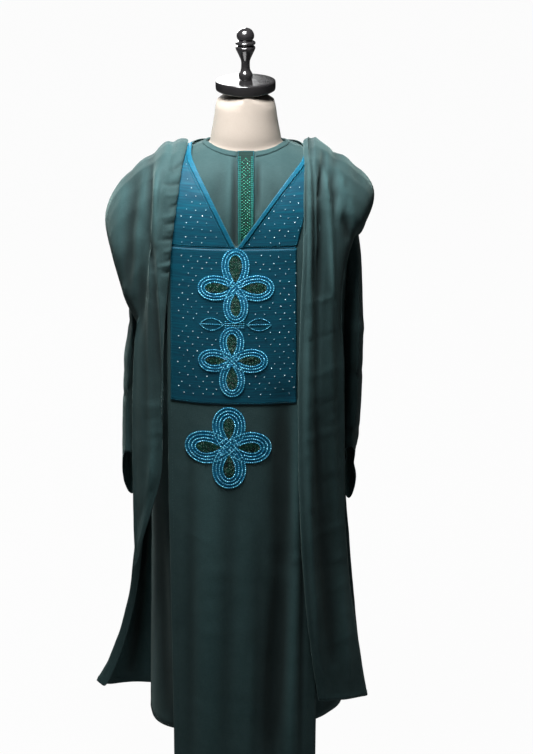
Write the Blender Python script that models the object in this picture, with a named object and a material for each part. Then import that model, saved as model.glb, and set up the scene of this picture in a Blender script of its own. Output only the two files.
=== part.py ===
"""Grand boubou robe over its matching tunic, standing on a limbless dress form.

Metres, +Z up. The origin is at the middle of the stand's underside, the front looks along -Y,
and "left" is the left side of the view from the front (-X).
"""

from collections import namedtuple
from math import asin, cos, pi, radians, sin, sqrt

import bpy
import bmesh
from mathutils import Vector

for old in list(bpy.data.objects):
    bpy.data.objects.remove(old, do_unlink=True)

MM = 0.001

# Cloth walls and the room between pieces
CLOTH = 0.0015
FACING = 0.0012
BRAID = 0.0020
SEAM = 0.0003

# Driving heights of the garment
CHEST_Z = 1.300
TUNIC_HEM_Z = 0.240
TUNIC_HEM_TILT = 0.019
ROBE_HEM_Z = 0.160
BACK_HEM_Z = 0.240

# Neck of the tunic and the cut of the robe's V
NECK_HALF_WIDTH = 0.0755
NECK_HALF_DEPTH = 0.0650
V_BOTTOM_X = -0.018
V_BOTTOM_Z = 1.297
V_TOP_X = {-1: -0.104, 1: 0.112}
BINDING_WIDTH = 0.0095
BACK_HALF_WIDTH = 0.178
BACK_NECK_DEPTH = 0.088

# Teal panel under the V, and the placket strip of the tunic
BIB_BOTTOM_Z = 0.977
PLACKET_LEFT_X = -0.0155
PLACKET_RIGHT_X = 0.0170
PLACKET_END_Z = 1.238

# Dress form
CAP_RADIUS = 0.0595
CAP_TOP_Z = 1.600
CAP_HEIGHT = 0.022
FORM_BOTTOM_Z = 0.800
POLE_RADIUS = 0.0125
BASE_RADIUS = 0.135
BASE_HEIGHT = 0.016
HUB_RADIUS = 0.030
HUB_HEIGHT = 0.045

# The body that the cloth hangs from, a row for each height below the chest
Girth = namedtuple("Girth", "z half_width front back corner")
BODY = (
    Girth(1.300, 0.212, 0.130, 0.124, 2.6),
    Girth(1.150, 0.202, 0.136, 0.126, 2.6),
    Girth(0.950, 0.198, 0.142, 0.130, 2.6),
    Girth(0.700, 0.199, 0.147, 0.135, 2.6),
    Girth(0.450, 0.204, 0.150, 0.140, 2.5),
    Girth(0.150, 0.211, 0.153, 0.145, 2.4),
)
FORM = (
    Girth(1.300, 0.200, 0.119, 0.113, 2.6),
    Girth(1.200, 0.182, 0.117, 0.108, 2.4),
    Girth(1.060, 0.152, 0.103, 0.096, 2.2),
    Girth(0.900, 0.168, 0.112, 0.108, 2.3),
    Girth(0.820, 0.172, 0.114, 0.112, 2.4),
)
NECK = (
    Girth(1.5775, 0.0580, 0.0560, 0.0560, 2.0),
    Girth(1.5450, 0.0600, 0.0560, 0.0570, 2.0),
    Girth(1.5120, 0.0650, 0.0580, 0.0600, 2.0),
    Girth(1.4880, 0.0706, 0.0600, 0.0625, 2.0),
)
NECK_FOOT = Girth(0.0, 0.0716, 0.0602, 0.0640, 2.0)

# Height of the shoulder line, a row for each distance from the middle
Shoulder = namedtuple("Shoulder", "x z")
RIDGE = (
    Shoulder(0.000, 1.490),
    Shoulder(0.076, 1.479),
    Shoulder(0.110, 1.466),
    Shoulder(0.150, 1.449),
    Shoulder(0.180, 1.431),
    Shoulder(0.200, 1.408),
    Shoulder(0.212, 1.372),
)
PROFILE = 2.3

# How far the centre panels of the robe stand off the tunic, from the shoulder to the hem
Stand = namedtuple("Stand", "s front back")
STAND_OFF = (
    Stand(0.00, 0.0034, 0.0038),
    Stand(0.50, 0.0058, 0.0056),
    Stand(1.00, 0.0095, 0.0080),
    Stand(1.50, 0.0140, 0.0120),
    Stand(2.20, 0.0160, 0.0150),
)

# Lines down the robe's front, a row for each, from the V's edge out to the panel's side edge
Line = namedtuple("Line", "x_chest x_hem")
ROBE_LINES = {
    -1: (
        Line(-0.018, -0.030),
        Line(-0.028, -0.040),
        Line(-0.047, -0.058),
        Line(-0.066, -0.076),
        Line(-0.085, -0.094),
        Line(-0.104, -0.112),
        Line(-0.124, -0.129),
        Line(-0.143, -0.139),
        Line(-0.150, -0.146),
    ),
    1: (
        Line(-0.018, -0.030),
        Line(-0.008, -0.020),
        Line(0.006, -0.006),
        Line(0.020, 0.009),
        Line(0.035, 0.022),
        Line(0.050, 0.034),
        Line(0.066, 0.045),
        Line(0.083, 0.056),
        Line(0.0975, 0.068),
        Line(0.109, 0.084),
        Line(0.121, 0.103),
        Line(0.134, 0.121),
        Line(0.145, 0.137),
    ),
}
BIB_LINES = {-1: 7, 1: 8}

# Long folds of the centre panels: place across at the chest and the hem, width, depth, start and full s
Fold = namedtuple("Fold", "x_chest x_hem width depth start full")
FRONT_FOLDS = (
    Fold(0.083, 0.056, 0.020, -0.012, 1.34, 1.75),
    Fold(0.121, 0.103, 0.034, 0.004, 1.34, 1.75),
    Fold(-0.066, -0.076, 0.045, 0.004, 1.40, 1.90),
)
BACK_FOLDS = (
    Fold(-0.090, -0.110, 0.022, 0.010, 1.05, 1.60),
    Fold(-0.030, -0.040, 0.024, 0.008, 1.10, 1.70),
    Fold(0.040, 0.045, 0.024, 0.010, 1.05, 1.60),
    Fold(0.105, 0.120, 0.022, 0.008, 1.15, 1.70),
)

# The folded sides, a row for each section from the front hem over the shoulder to the back hem, in
# millimetres. inner: rolled edge on the centre panel, x and s; crease: between the two strips;
# valley: before the puff; crest: fullest line of the puff; edge: free edge of the cloth.
Section = namedtuple("Section", "face inner crease valley crest edge")
WING_LEFT = (
    Section(-1, (-157, 1413), (-176, -141, 800), (-227, -104, 606), (-228, -90, 606), (-208, -85, 680)),
    Section(-1, (-156, 1335), (-174, -143, 905), (-228, -106, 800), (-230, -89, 800), (-210, -84, 812)),
    Section(-1, (-152, 1235), (-172, -142, 1058), (-222, -106, 1048), (-225, -89, 1048), (-207, -83, 1052)),
    Section(-1, (-146, 1110), (-178, -136, 1180), (-207, -110, 1168), (-216, -98, 1140), (-213, -84, 1112)),
    Section(-1, (-142, 1010), (-184, -122, 1272), (-193, -110, 1258), (-240, -96, 1205), (-236, -66, 1152)),
    Section(-1, (-131, 690), (-168, -114, 1388), (-191, -100, 1372), (-264, -70, 1288), (-245, -42, 1170)),
    Section(-1, (-122, 360), (-150, -72, 1452), (-184, -62, 1432), (-274, -40, 1324), (-248, -22, 1174)),
    Section(-1, (-113, 30), (-146, -4, 1471), (-176, 0, 1452), (-279, 0, 1330), (-249, 0, 1172)),
    Section(1, (-116, 340), (-148, 70, 1452), (-184, 60, 1432), (-272, 42, 1322), (-248, 30, 1168)),
    Section(1, (-122, 680), (-156, 114, 1378), (-190, 100, 1366), (-258, 74, 1280), (-243, 60, 1150)),
    Section(1, (-128, 1050), (-170, 127, 1240), (-196, 112, 1225), (-234, 102, 1185), (-228, 90, 1120)),
    Section(1, (-132, 1240), (-180, 132, 1050), (-212, 116, 1045), (-221, 103, 1040), (-204, 94, 1045)),
    Section(1, (-136, 1500), (-186, 142, 800), (-219, 126, 795), (-228, 112, 792), (-210, 101, 800)),
    Section(1, (-140, 1800), (-194, 154, 500), (-238, 141, 495), (-249, 124, 492), (-230, 112, 500)),
    Section(1, (-142, 1970), (-206, 164, 325), (-274, 152, 312), (-289, 131, 310), (-268, 114, 318)),
    Section(1, (-144, 2110), (-216, 170, 188), (-312, 160, 188), (-337, 132, 212), (-314, 106, 206)),
)
WING_RIGHT = (
    Section(-1, (141, 1990), (182, -142, 308), (244, -100, 294), (256, -68, 285), (240, -46, 292)),
    Section(-1, (123, 1850), (160, -152, 450), (220, -108, 445), (231, -78, 440), (214, -64, 445)),
    Section(-1, (109, 1660), (145, -154, 640), (196, -110, 636), (206, -90, 632), (190, -78, 640)),
    Section(-1, (102, 1440), (138, -152, 860), (191, -110, 856), (200, -94, 852), (184, -83, 860)),
    Section(-1, (102, 1240), (134, -148, 1058), (187, -112, 1050), (197, -97, 1046), (181, -86, 1050)),
    Section(-1, (108, 1100), (132, -142, 1195), (168, -124, 1185), (191, -108, 1180), (186, -90, 1186)),
    Section(-1, (113, 1000), (134, -134, 1300), (158, -120, 1296), (204, -98, 1298), (211, -62, 1288)),
    Section(-1, (113, 690), (132, -122, 1388), (154, -110, 1384), (230, -76, 1345), (227, -44, 1298)),
    Section(-1, (112, 360), (130, -76, 1462), (156, -66, 1448), (246, -42, 1375), (234, -24, 1304)),
    Section(-1, (111, 30), (129, -4, 1479), (156, 0, 1464), (254, 0, 1380), (236, 0, 1306)),
    Section(1, (113, 340), (134, 72, 1464), (160, 62, 1446), (247, 42, 1372), (235, 28, 1304)),
    Section(1, (117, 680), (140, 115, 1384), (168, 102, 1370), (234, 78, 1330), (226, 58, 1285)),
    Section(1, (122, 1050), (150, 130, 1245), (184, 114, 1230), (216, 102, 1215), (208, 86, 1205)),
    Section(1, (124, 1240), (156, 136, 1055), (194, 116, 1050), (202, 102, 1046), (186, 92, 1050)),
    Section(1, (126, 1500), (164, 142, 800), (196, 124, 796), (204, 108, 792), (188, 98, 800)),
    Section(1, (130, 1800), (174, 152, 500), (216, 132, 495), (226, 112, 490), (208, 102, 500)),
    Section(1, (134, 2050), (190, 162, 242), (240, 138, 252), (250, 106, 262), (232, 90, 270)),
)
ROLL_RADIUS = 0.00425
ROLL_TURN_UNDER = 0.006
ROLL_ROOM = 0.0036
PUFF_SWELL = {-1: 0.014, 1: 0.010}

# Pleat lines along the folded sides: place across (0 inner, 1 crease, 2 valley, 3 crest, 4 edge),
# half width in the same steps, and height
Pleat = namedtuple("Pleat", "across width height")
PLEATS_LEFT = (
    Pleat(0.55, 0.40, 0.0035),
    Pleat(1.00, 0.30, -0.0040),
    Pleat(1.50, 0.45, 0.0045),
    Pleat(2.00, 0.25, -0.0040),
)
PLEATS_RIGHT = (
    Pleat(0.30, 0.25, -0.0012),
    Pleat(0.65, 0.35, 0.0036),
    Pleat(1.05, 0.30, -0.0036),
    Pleat(1.40, 0.30, 0.0040),
    Pleat(1.90, 0.35, -0.0040),
)

# Sleeves, a row for each section from the armhole to the cuff. out: from the middle; tilt: degrees
# from upright at the armhole to level; half_out and half_deep: half sizes of the flattened tube.
Sleeve = namedtuple("Sleeve", "out z deep tilt half_out half_deep")
SLEEVE_LEFT = (
    Sleeve(0.2400, 1.262, 0.004, 48, 0.0340, 0.066),
    Sleeve(0.2320, 1.195, 0.006, 75, 0.0155, 0.068),
    Sleeve(0.2265, 1.130, 0.008, 90, 0.0125, 0.066),
    Sleeve(0.2355, 1.040, 0.008, 90, 0.0140, 0.064),
    Sleeve(0.2420, 0.930, 0.008, 90, 0.0145, 0.062),
    Sleeve(0.2440, 0.840, 0.008, 90, 0.0145, 0.062),
    Sleeve(0.2445, 0.762, 0.008, 90, 0.0150, 0.062),
)
SLEEVE_RIGHT = (
    Sleeve(0.2220, 1.255, 0.004, 60, 0.0110, 0.050),
    Sleeve(0.2225, 1.195, 0.006, 80, 0.0120, 0.058),
    Sleeve(0.2250, 1.120, 0.008, 90, 0.0130, 0.064),
    Sleeve(0.2255, 1.020, 0.008, 90, 0.0135, 0.062),
    Sleeve(0.2240, 0.920, 0.008, 90, 0.0130, 0.060),
    Sleeve(0.2190, 0.850, 0.008, 90, 0.0145, 0.060),
    Sleeve(0.2143, 0.800, 0.008, 90, 0.0130, 0.060),
    Sleeve(0.2154, 0.762, 0.008, 90, 0.0134, 0.060),
)
ARMHOLE_Z = 1.3300
ARMHOLE_HALF_HEIGHT = 0.0780
ARMHOLE_HALF_DEPTH = 0.0560
ARMHOLE_LAP = 0.0008
CUFF_SLANT = {-1: 0.075, 1: 0.085}

COLOURS = {
    "robe": (0.030, 0.070, 0.072),
    "tunic": (0.034, 0.076, 0.074),
    "teal": (0.004, 0.080, 0.125),
    "binding": (0.004, 0.210, 0.310),
    "braid": (0.010, 0.120, 0.105),
    "linen": (0.760, 0.690, 0.600),
    "lacquer": (0.010, 0.010, 0.012),
    "steel": (0.250, 0.250, 0.260),
}


def through(rows, t):
    """Smooth value at t (0 to the last row's number) through rows of equal length."""
    i = min(max(int(t), 0), len(rows) - 2)
    f = t - i
    before = rows[max(i - 1, 0)]
    after = rows[min(i + 2, len(rows) - 1)]
    return [
        0.5 * (2 * b + (c - a) * f + (2 * a - 5 * b + 4 * c - d) * f * f + (3 * b - a - 3 * c + d) * f**3)
        for a, b, c, d in zip(before, rows[i], rows[i + 1], after)
    ]


def level(rows, value):
    """The row smoothly read where its first column has this value."""
    rising = rows[-1][0] > rows[0][0]
    for i in range(len(rows) - 1):
        low, high = rows[i][0], rows[i + 1][0]
        if i == len(rows) - 2 or (value <= high if rising else value >= high):
            f = (value - low) / (high - low)
            return through(rows, i + min(max(f, 0.0), 1.0))


def between(stops, t):
    """Value at t (0 to the last stop's number) on straight runs between the stops."""
    i = min(max(int(t), 0), len(stops) - 2)
    return stops[i] + (stops[i + 1] - stops[i]) * (t - i)


def spaced(low, high, spans):
    """Stops from low to high, both included."""
    return [low + (high - low) * k / spans for k in range(spans + 1)]


def ease(value, low, high):
    """0 below low, 1 above high, smooth between."""
    f = min(max((value - low) / (high - low), 0.0), 1.0)
    return f * f * (3 - 2 * f)


def bell(distance, width):
    """1 at the middle of a fold, 0 past its width, with soft sides."""
    f = abs(distance) / width
    return 0.0 if f >= 1 else (1 + cos(pi * f)) / 2


def plan(q, corner):
    """Depth of the body's outline, as a share, at q of its half width."""
    return max(1 - min(abs(q), 1.0) ** corner, 0.0) ** (1 / corner)


def ridge_z(x):
    return level(RIDGE, abs(x))[1]


def body(q, s, face):
    """Point on the tunic: q across (-1 to 1), s down (0 shoulder line, 1 chest, then metres), face -1 front."""
    top = BODY[0]
    if s <= 1:
        depth = (top.front if face < 0 else top.back) * plan(q, top.corner)
        angle = max(s, 0.0) * pi / 2
        rise = ridge_z(q * top.half_width) - CHEST_Z
        y = depth * sin(angle) ** (2 / PROFILE)
        return Vector((q * top.half_width, face * y, CHEST_Z + rise * cos(angle) ** (2 / PROFILE)))
    z = CHEST_Z - (s - 1)
    _, half_width, front, back, corner = level(BODY, z)
    depth = (front if face < 0 else back) * plan(q, corner)
    return Vector((q * half_width, face * depth, z))


def half_width_at(s):
    return level(BODY, CHEST_Z - max(s - 1, 0.0))[1]


def lifted(q, s, face, lift):
    """Point of the tunic's surface moved out by lift."""
    step = 0.004
    across = body(q + step, s, face) - body(q - step, s, face)
    down = body(q, s + step, face) - body(q, max(s - step, 0.0), face)
    out = across.cross(down) * face
    return body(q, s, face) + out.normalized() * lift


def shoulder_s(x, y, face):
    """Where down the shoulder the tunic's surface is y from the shoulder line, at x."""
    top = BODY[0]
    depth = (top.front if face < 0 else top.back) * plan(x / top.half_width, top.corner)
    return asin(min(y / depth, 1.0) ** (PROFILE / 2)) * 2 / pi


def material(name):
    made = bpy.data.materials.get(name)
    if made is None:
        made = bpy.data.materials.new(name)
        made.use_nodes = True
        shader = made.node_tree.nodes["Principled BSDF"]
        shader.inputs["Base Color"].default_value = (*COLOURS[name], 1)
        shader.inputs["Roughness"].default_value = 0.15 if name == "lacquer" else 0.8
        shader.inputs["Metallic"].default_value = 1.0 if name == "steel" else 0.0
    return made


def node(name, bm, finish, sharp=40):
    """Turn a bmesh into the named object of one sub-part."""
    mesh = bpy.data.meshes.new(name)
    bm.to_mesh(mesh)
    bm.free()
    mesh.shade_smooth()
    mesh.set_sharp_from_angle(angle=radians(sharp))
    mesh.materials.append(material(finish))
    made = bpy.data.objects.new(name, mesh)
    bpy.context.scene.collection.objects.link(made)
    return made


def wall(name, surface, across, down, thick, finish, keep=None, face=0, middle=None):
    """A cloth piece of even thickness.

    surface(u, v, side) gives its outer points, where side is -1 or 1 for the cells left or right of
    the middle line of points. Points that coincide are one. keep(u, v) drops cells, as for an
    armhole. face holds the inner points of a front (-1) or back (1) piece on its own side of the
    side seam.
    """
    bm = bmesh.new()
    outer, inner = {}, {}
    step = 0.02

    def normal(u, v, side):
        left, right = max(u - step / 4, 0.0), min(u + step / 4, 1.0)
        above, below = max(v - step / 4, 0.0), min(v + step / 4, 1.0)
        du = surface(right, v, side) - surface(left, v, side)
        dv = surface(u, below, side) - surface(u, above, side)
        return (dv / dv.length).cross(du / du.length).normalized()

    def corner(i, j, side):
        u, v = i / across, j / down
        place = surface(u, v, side)
        key = tuple(round(c, 6) for c in place)
        if key not in outer:
            hidden = place - normal(u, v, side) * thick
            if face:
                hidden.y = face * max(face * hidden.y, SEAM / 2)
            outer[key] = bm.verts.new(place)
            inner[key] = bm.verts.new(hidden)
        return key

    edges = {}
    for i in range(across):
        for j in range(down):
            if keep and not keep((i + 0.5) / across, (j + 0.5) / down):
                continue
            side = -1 if i < (across / 2 if middle is None else middle) else 1
            a, b = corner(i, j, side), corner(i, j + 1, side)
            c, d = corner(i + 1, j + 1, side), corner(i + 1, j, side)
            for triangle in ((a, b, c), (a, c, d)):
                if len(set(triangle)) < 3:
                    continue
                bm.faces.new([outer[k] for k in triangle])
                bm.faces.new([inner[k] for k in reversed(triangle)])
                for start, end in zip(triangle, triangle[1:] + triangle[:1]):
                    edges[(start, end)] = True
    for start, end in edges:
        if (end, start) not in edges:
            bm.faces.new((outer[end], outer[start], inner[start]))
            bm.faces.new((outer[end], inner[start], inner[end]))
    bmesh.ops.recalc_face_normals(bm, faces=bm.faces)
    return node(name, bm, finish)


def lofted(name, rings, finish, sharp=40):
    """A closed solid through rings of equally many points, top ring first, with flat ends."""
    bm = bmesh.new()
    loops = [[bm.verts.new(place) for place in ring] for ring in rings]
    count = len(loops[0])
    for upper, lower in zip(loops, loops[1:]):
        for k in range(count):
            n = (k + 1) % count
            bm.faces.new((upper[k], lower[k], lower[n]))
            bm.faces.new((upper[k], lower[n], upper[n]))
    bmesh.ops.triangle_fill(bm, edges=[e for e in bm.edges if e.is_boundary and e.verts[0] in loops[0]])
    bmesh.ops.triangle_fill(bm, edges=[e for e in bm.edges if e.is_boundary])
    bmesh.ops.recalc_face_normals(bm, faces=bm.faces)
    return node(name, bm, finish, sharp)


def turned(name, profile, steps, finish, sharp=40):
    """A solid of revolution about Z from (radius, z) rows, top first; its ends are flat discs."""
    rings = [
        [(r * cos(2 * pi * k / steps), r * sin(2 * pi * k / steps), z) for k in range(steps)]
        for r, z in profile
    ]
    return lofted(name, rings, finish, sharp)


# Tunic: front and back with armholes, neck facing and placket

NECK_ANGLES = (35, 60, 90)
SIDE_LINES = (0.45, 0.60, 0.75, 0.88, 0.966, 1.0)
HALF_LINES = [NECK_HALF_WIDTH * sin(radians(a)) / BODY[0].half_width for a in NECK_ANGLES] + list(SIDE_LINES)
TUNIC_LINES = (
    [-q for q in reversed(HALF_LINES)]
    + [PLACKET_LEFT_X / BODY[0].half_width, PLACKET_RIGHT_X / BODY[0].half_width]
    + HALF_LINES
)
TUNIC_COLUMNS = len(TUNIC_LINES) - 1
SHOULDER_ROWS = 6
PLACKET_ROWS = 8
TUNIC_ROWS = 16
PLACKET_END_S = 1 + CHEST_Z - PLACKET_END_Z


def tunic_s(v, start, q):
    """s at v: rows over the shoulder, down to the placket's end, and down to the hem, higher on the right."""
    rows = spaced(start, 1.0, SHOULDER_ROWS)
    rows += spaced(1.0, PLACKET_END_S, PLACKET_ROWS - SHOULDER_ROWS)[1:]
    end = 1 + CHEST_Z - TUNIC_HEM_Z - TUNIC_HEM_TILT * q
    rows += spaced(PLACKET_END_S, end, TUNIC_ROWS - PLACKET_ROWS)[1:]
    return between(rows, v * TUNIC_ROWS)


def neckline_s(x, face):
    """Where the round neckline crosses x, or the shoulder line beside it."""
    depth = NECK_HALF_DEPTH if face < 0 else NECK_HALF_DEPTH + 0.004
    if abs(x) >= NECK_HALF_WIDTH - 1e-6:
        return 0.0
    return shoulder_s(x, depth * sqrt(1 - (x / NECK_HALF_WIDTH) ** 2), face)


def tunic(face):
    def surface(u, v, side):
        q = between(TUNIC_LINES, u * TUNIC_COLUMNS)
        place = body(q, tunic_s(v, neckline_s(q * BODY[0].half_width, face), q), face)
        place.y += face * SEAM / 2
        return place

    return surface


def armhole(u, v):
    """Cells kept: all but the outer column over the armhole's rows."""
    beside = min(u, 1 - u) < 1.0 / TUNIC_COLUMNS
    return not (beside and v * TUNIC_ROWS < SHOULDER_ROWS + 1)


def flipped(surface):
    """The same surface read from its other side, so that its normals point out."""
    return lambda u, v, side: surface(1 - u, v, -side)


wall("tunic_front", tunic(-1), TUNIC_COLUMNS, TUNIC_ROWS, CLOTH, "tunic", armhole, -1)
wall("tunic_back", flipped(tunic(1)), TUNIC_COLUMNS, TUNIC_ROWS, CLOTH, "tunic", armhole, 1)


NECKBAND_ROOM = 0.0008


def neckband(u, v, side):
    """Facing 11 mm wide round the neckline, from one side of the placket to the other."""
    start = asin(PLACKET_RIGHT_X / NECK_HALF_WIDTH) + 0.008
    end = 2 * pi + asin(PLACKET_LEFT_X / NECK_HALF_WIDTH) - 0.008
    angle = start + (end - start) * u
    reach = 1.0 + 0.150 * v
    x = (NECK_HALF_WIDTH - 0.0004) * reach * sin(angle)
    y = -cos(angle) * reach
    face = -1 if y <= 0 else 1
    y = abs(y) * (NECK_HALF_DEPTH + (0.004 if face > 0 else 0.0))
    s = shoulder_s(x, y, face)
    return lifted(x / BODY[0].half_width, s, face, SEAM + FACING + NECKBAND_ROOM)


wall("tunic_neckband", neckband, 30, 1, FACING, "tunic")


def placket(u, v, side):
    """Strip down the slit, made from the tunic's own points."""
    q = between(TUNIC_LINES, len(HALF_LINES) + 0.01 + 0.98 * u)
    s = tunic_s(v * PLACKET_ROWS / TUNIC_ROWS, neckline_s(q * BODY[0].half_width, -1), q)
    return lifted(q, s, -1, SEAM + BRAID)


wall("tunic_placket", placket, 1, PLACKET_ROWS, BRAID, "braid")


# Sleeves: limp tubes that lap over the armholes


def sleeve(hand, rows):

    def head(angle):
        """Loop on the tunic's side round the armhole."""
        z = ARMHOLE_Z + ARMHOLE_HALF_HEIGHT * cos(angle)
        y = -ARMHOLE_HALF_DEPTH * sin(angle)
        top = BODY[0]
        face = -1 if y < 0 else 1
        depth = top.front if face < 0 else top.back
        q = (1 - (abs(y) / depth) ** top.corner) ** (1 / top.corner)
        below = level(BODY, z)[1] if z < CHEST_Z else top.half_width
        shoulder = 1 - 0.040 * ease(z, 1.37, 1.415)
        return Vector((hand * (q * below * shoulder + ARMHOLE_LAP), y, z))

    def ring(row, angle):
        out, z, deep, tilt, half_out, half_deep = row
        lean = radians(tilt)
        step = half_out * cos(angle)
        place = Vector((out + sin(lean) * step, deep - half_deep * sin(angle), z + cos(lean) * step))
        place.x *= hand
        return place

    def surface(u, v, side):
        angle = 2 * pi * u * -hand
        t = v * len(rows)
        if t < 1:
            first, start = ring(rows[0], angle), head(angle)
            return start.lerp(first, t * (0.55 + 0.45 * t))
        place = ring(through(rows, t - 1), angle)
        slant = CUFF_SLANT[hand] * ease(t, len(rows) - 4, len(rows))
        place.z += slant * sin(angle)
        return place

    return surface


wall("tunic_sleeve_left", sleeve(-1, SLEEVE_LEFT), 14, 12, CLOTH, "tunic")
wall("tunic_sleeve_right", sleeve(1, SLEEVE_RIGHT), 14, 12, CLOTH, "tunic")


# Robe: centre front with the V, centre back

V_ROWS = 9
BIB_ROWS = 8
SKIRT_ROWS = 9
ROBE_ROWS = V_ROWS + BIB_ROWS + SKIRT_ROWS
V_S = 1 + CHEST_Z - V_BOTTOM_Z
BIB_S = 1 + CHEST_Z - BIB_BOTTOM_Z
HEM_S = 1 + CHEST_Z - ROBE_HEM_Z
ROBE_S = (
    spaced(0.0, V_S, V_ROWS)
    + spaced(V_S, BIB_S, BIB_ROWS)[1:]
    + spaced(BIB_S, HEM_S, SKIRT_ROWS)[1:]
)
SHOULDER_TOP_Z = 1.468


def v_edge(side, s):
    """x of the V's cut edge at s."""
    here = body(0.3, min(s, 1.0), -1).z
    share = min(max((here - V_BOTTOM_Z) / (SHOULDER_TOP_Z - V_BOTTOM_Z), 0.0), 1.0)
    return V_BOTTOM_X + (V_TOP_X[side] - V_BOTTOM_X) * (share if s < V_S else 0.0)


def line_x(side, n, s):
    """x at s of line n of the robe's front, which leans with the folds below the bib."""
    chest = [line.x_chest for line in ROBE_LINES[side]]
    if s >= V_S:
        lean = ease(s, BIB_S, HEM_S)
        return between(chest, n) * (1 - lean) + between([line.x_hem for line in ROBE_LINES[side]], n) * lean
    edge = v_edge(side, s)
    first = edge + side * BINDING_WIDTH
    if n <= 1:
        return edge + (first - edge) * n
    return first + (chest[-1] - first) * (between(chest, n) - chest[1]) / (chest[-1] - chest[1])


def centre(x, s, face, extra=0.0):
    """Point of a centre panel at x and s, with its folds, moved out by extra."""
    stand = level(STAND_OFF, s)[1 if face < 0 else 2]
    for fold in FRONT_FOLDS if face < 0 else BACK_FOLDS:
        middle = fold.x_chest + (fold.x_hem - fold.x_chest) * ease(s, BIB_S, HEM_S)
        stand += fold.depth * bell(x - middle, fold.width) * ease(s, fold.start, fold.full)
    place = lifted(x / half_width_at(s), s, face, stand + extra)
    place.y += face * SEAM / 2
    return place


ROBE_COLUMNS = sum(len(lines) - 1 for lines in ROBE_LINES.values())
ROBE_MIDDLE = len(ROBE_LINES[-1]) - 1


def robe_front(u, v, side):
    n = max(side * (u * ROBE_COLUMNS - ROBE_MIDDLE), 0.0)
    s = between(ROBE_S, v * ROBE_ROWS)
    return centre(line_x(side, n, s), s, -1)


BACK_SHARES = (0.15, 0.32, 0.50, 0.66, 0.80, 0.91, 0.975, 1.0)
BACK_SIDE = (0.124, 0.136, 0.150, 0.164, BACK_HALF_WIDTH)
BACK_LINES = (
    [-x for x in reversed(BACK_SIDE)]
    + [V_TOP_X[-1] * share for share in reversed(BACK_SHARES)]
    + [0.0]
    + [V_TOP_X[1] * share for share in BACK_SHARES]
    + [*BACK_SIDE]
)
BACK_COLUMNS = len(BACK_LINES) - 1
BACK_ROWS = 16


def robe_back(u, v, side):
    x = between(BACK_LINES, u * BACK_COLUMNS)
    reach = V_TOP_X[-1 if x < 0 else 1]
    start = 0.0
    if abs(x) < abs(reach) - 1e-6:
        start = shoulder_s(x, BACK_NECK_DEPTH * sqrt(1 - (x / reach) ** 2), 1)
    rows = spaced(start, 1.0, SHOULDER_ROWS)
    rows += spaced(1.0, 1 + CHEST_Z - BACK_HEM_Z, BACK_ROWS - SHOULDER_ROWS)[1:]
    return centre(x, between(rows, v * BACK_ROWS), 1)


wall("robe_front", robe_front, ROBE_COLUMNS, ROBE_ROWS, CLOTH, "robe", None, -1, ROBE_MIDDLE)
wall("robe_back", flipped(robe_back), BACK_COLUMNS, BACK_ROWS, CLOTH, "robe", None, 1)


def on_front(first, last, top, bottom, thick):
    """A piece on the robe's front, made from its points.

    It runs from line first to line last (negative on the left) and from row top to row bottom.
    """

    def surface(u, v, side):
        n = first + (last - first) * u
        hand = -1 if n < 0 or (n == 0 and first < 0) else 1
        s = between(ROBE_S, top + (bottom - top) * v)
        return centre(line_x(hand, abs(n), s), s, -1, SEAM + thick)

    return surface


GAP = 0.02
wall("robe_binding_left", on_front(-1 + GAP, -GAP, 0, V_ROWS - GAP, BRAID), 1, V_ROWS, BRAID, "binding")
wall("robe_binding_right", on_front(GAP, 1 - GAP, 0, V_ROWS - GAP, BRAID), 1, V_ROWS, BRAID, "binding")
wall(
    "bib_upper_left",
    on_front(-BIB_LINES[-1], -1 - GAP, 0, V_ROWS - GAP, FACING),
    BIB_LINES[-1] - 1,
    V_ROWS,
    FACING,
    "teal",
)
wall(
    "bib_upper_right",
    on_front(1 + GAP, BIB_LINES[1], 0, V_ROWS - GAP, FACING),
    BIB_LINES[1] - 1,
    V_ROWS,
    FACING,
    "teal",
)
wall(
    "bib_panel",
    on_front(-BIB_LINES[-1], BIB_LINES[1], V_ROWS + GAP, V_ROWS + BIB_ROWS, FACING),
    BIB_LINES[-1] + BIB_LINES[1],
    BIB_ROWS,
    FACING,
    "teal",
)


# Folded sides of the robe


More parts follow.
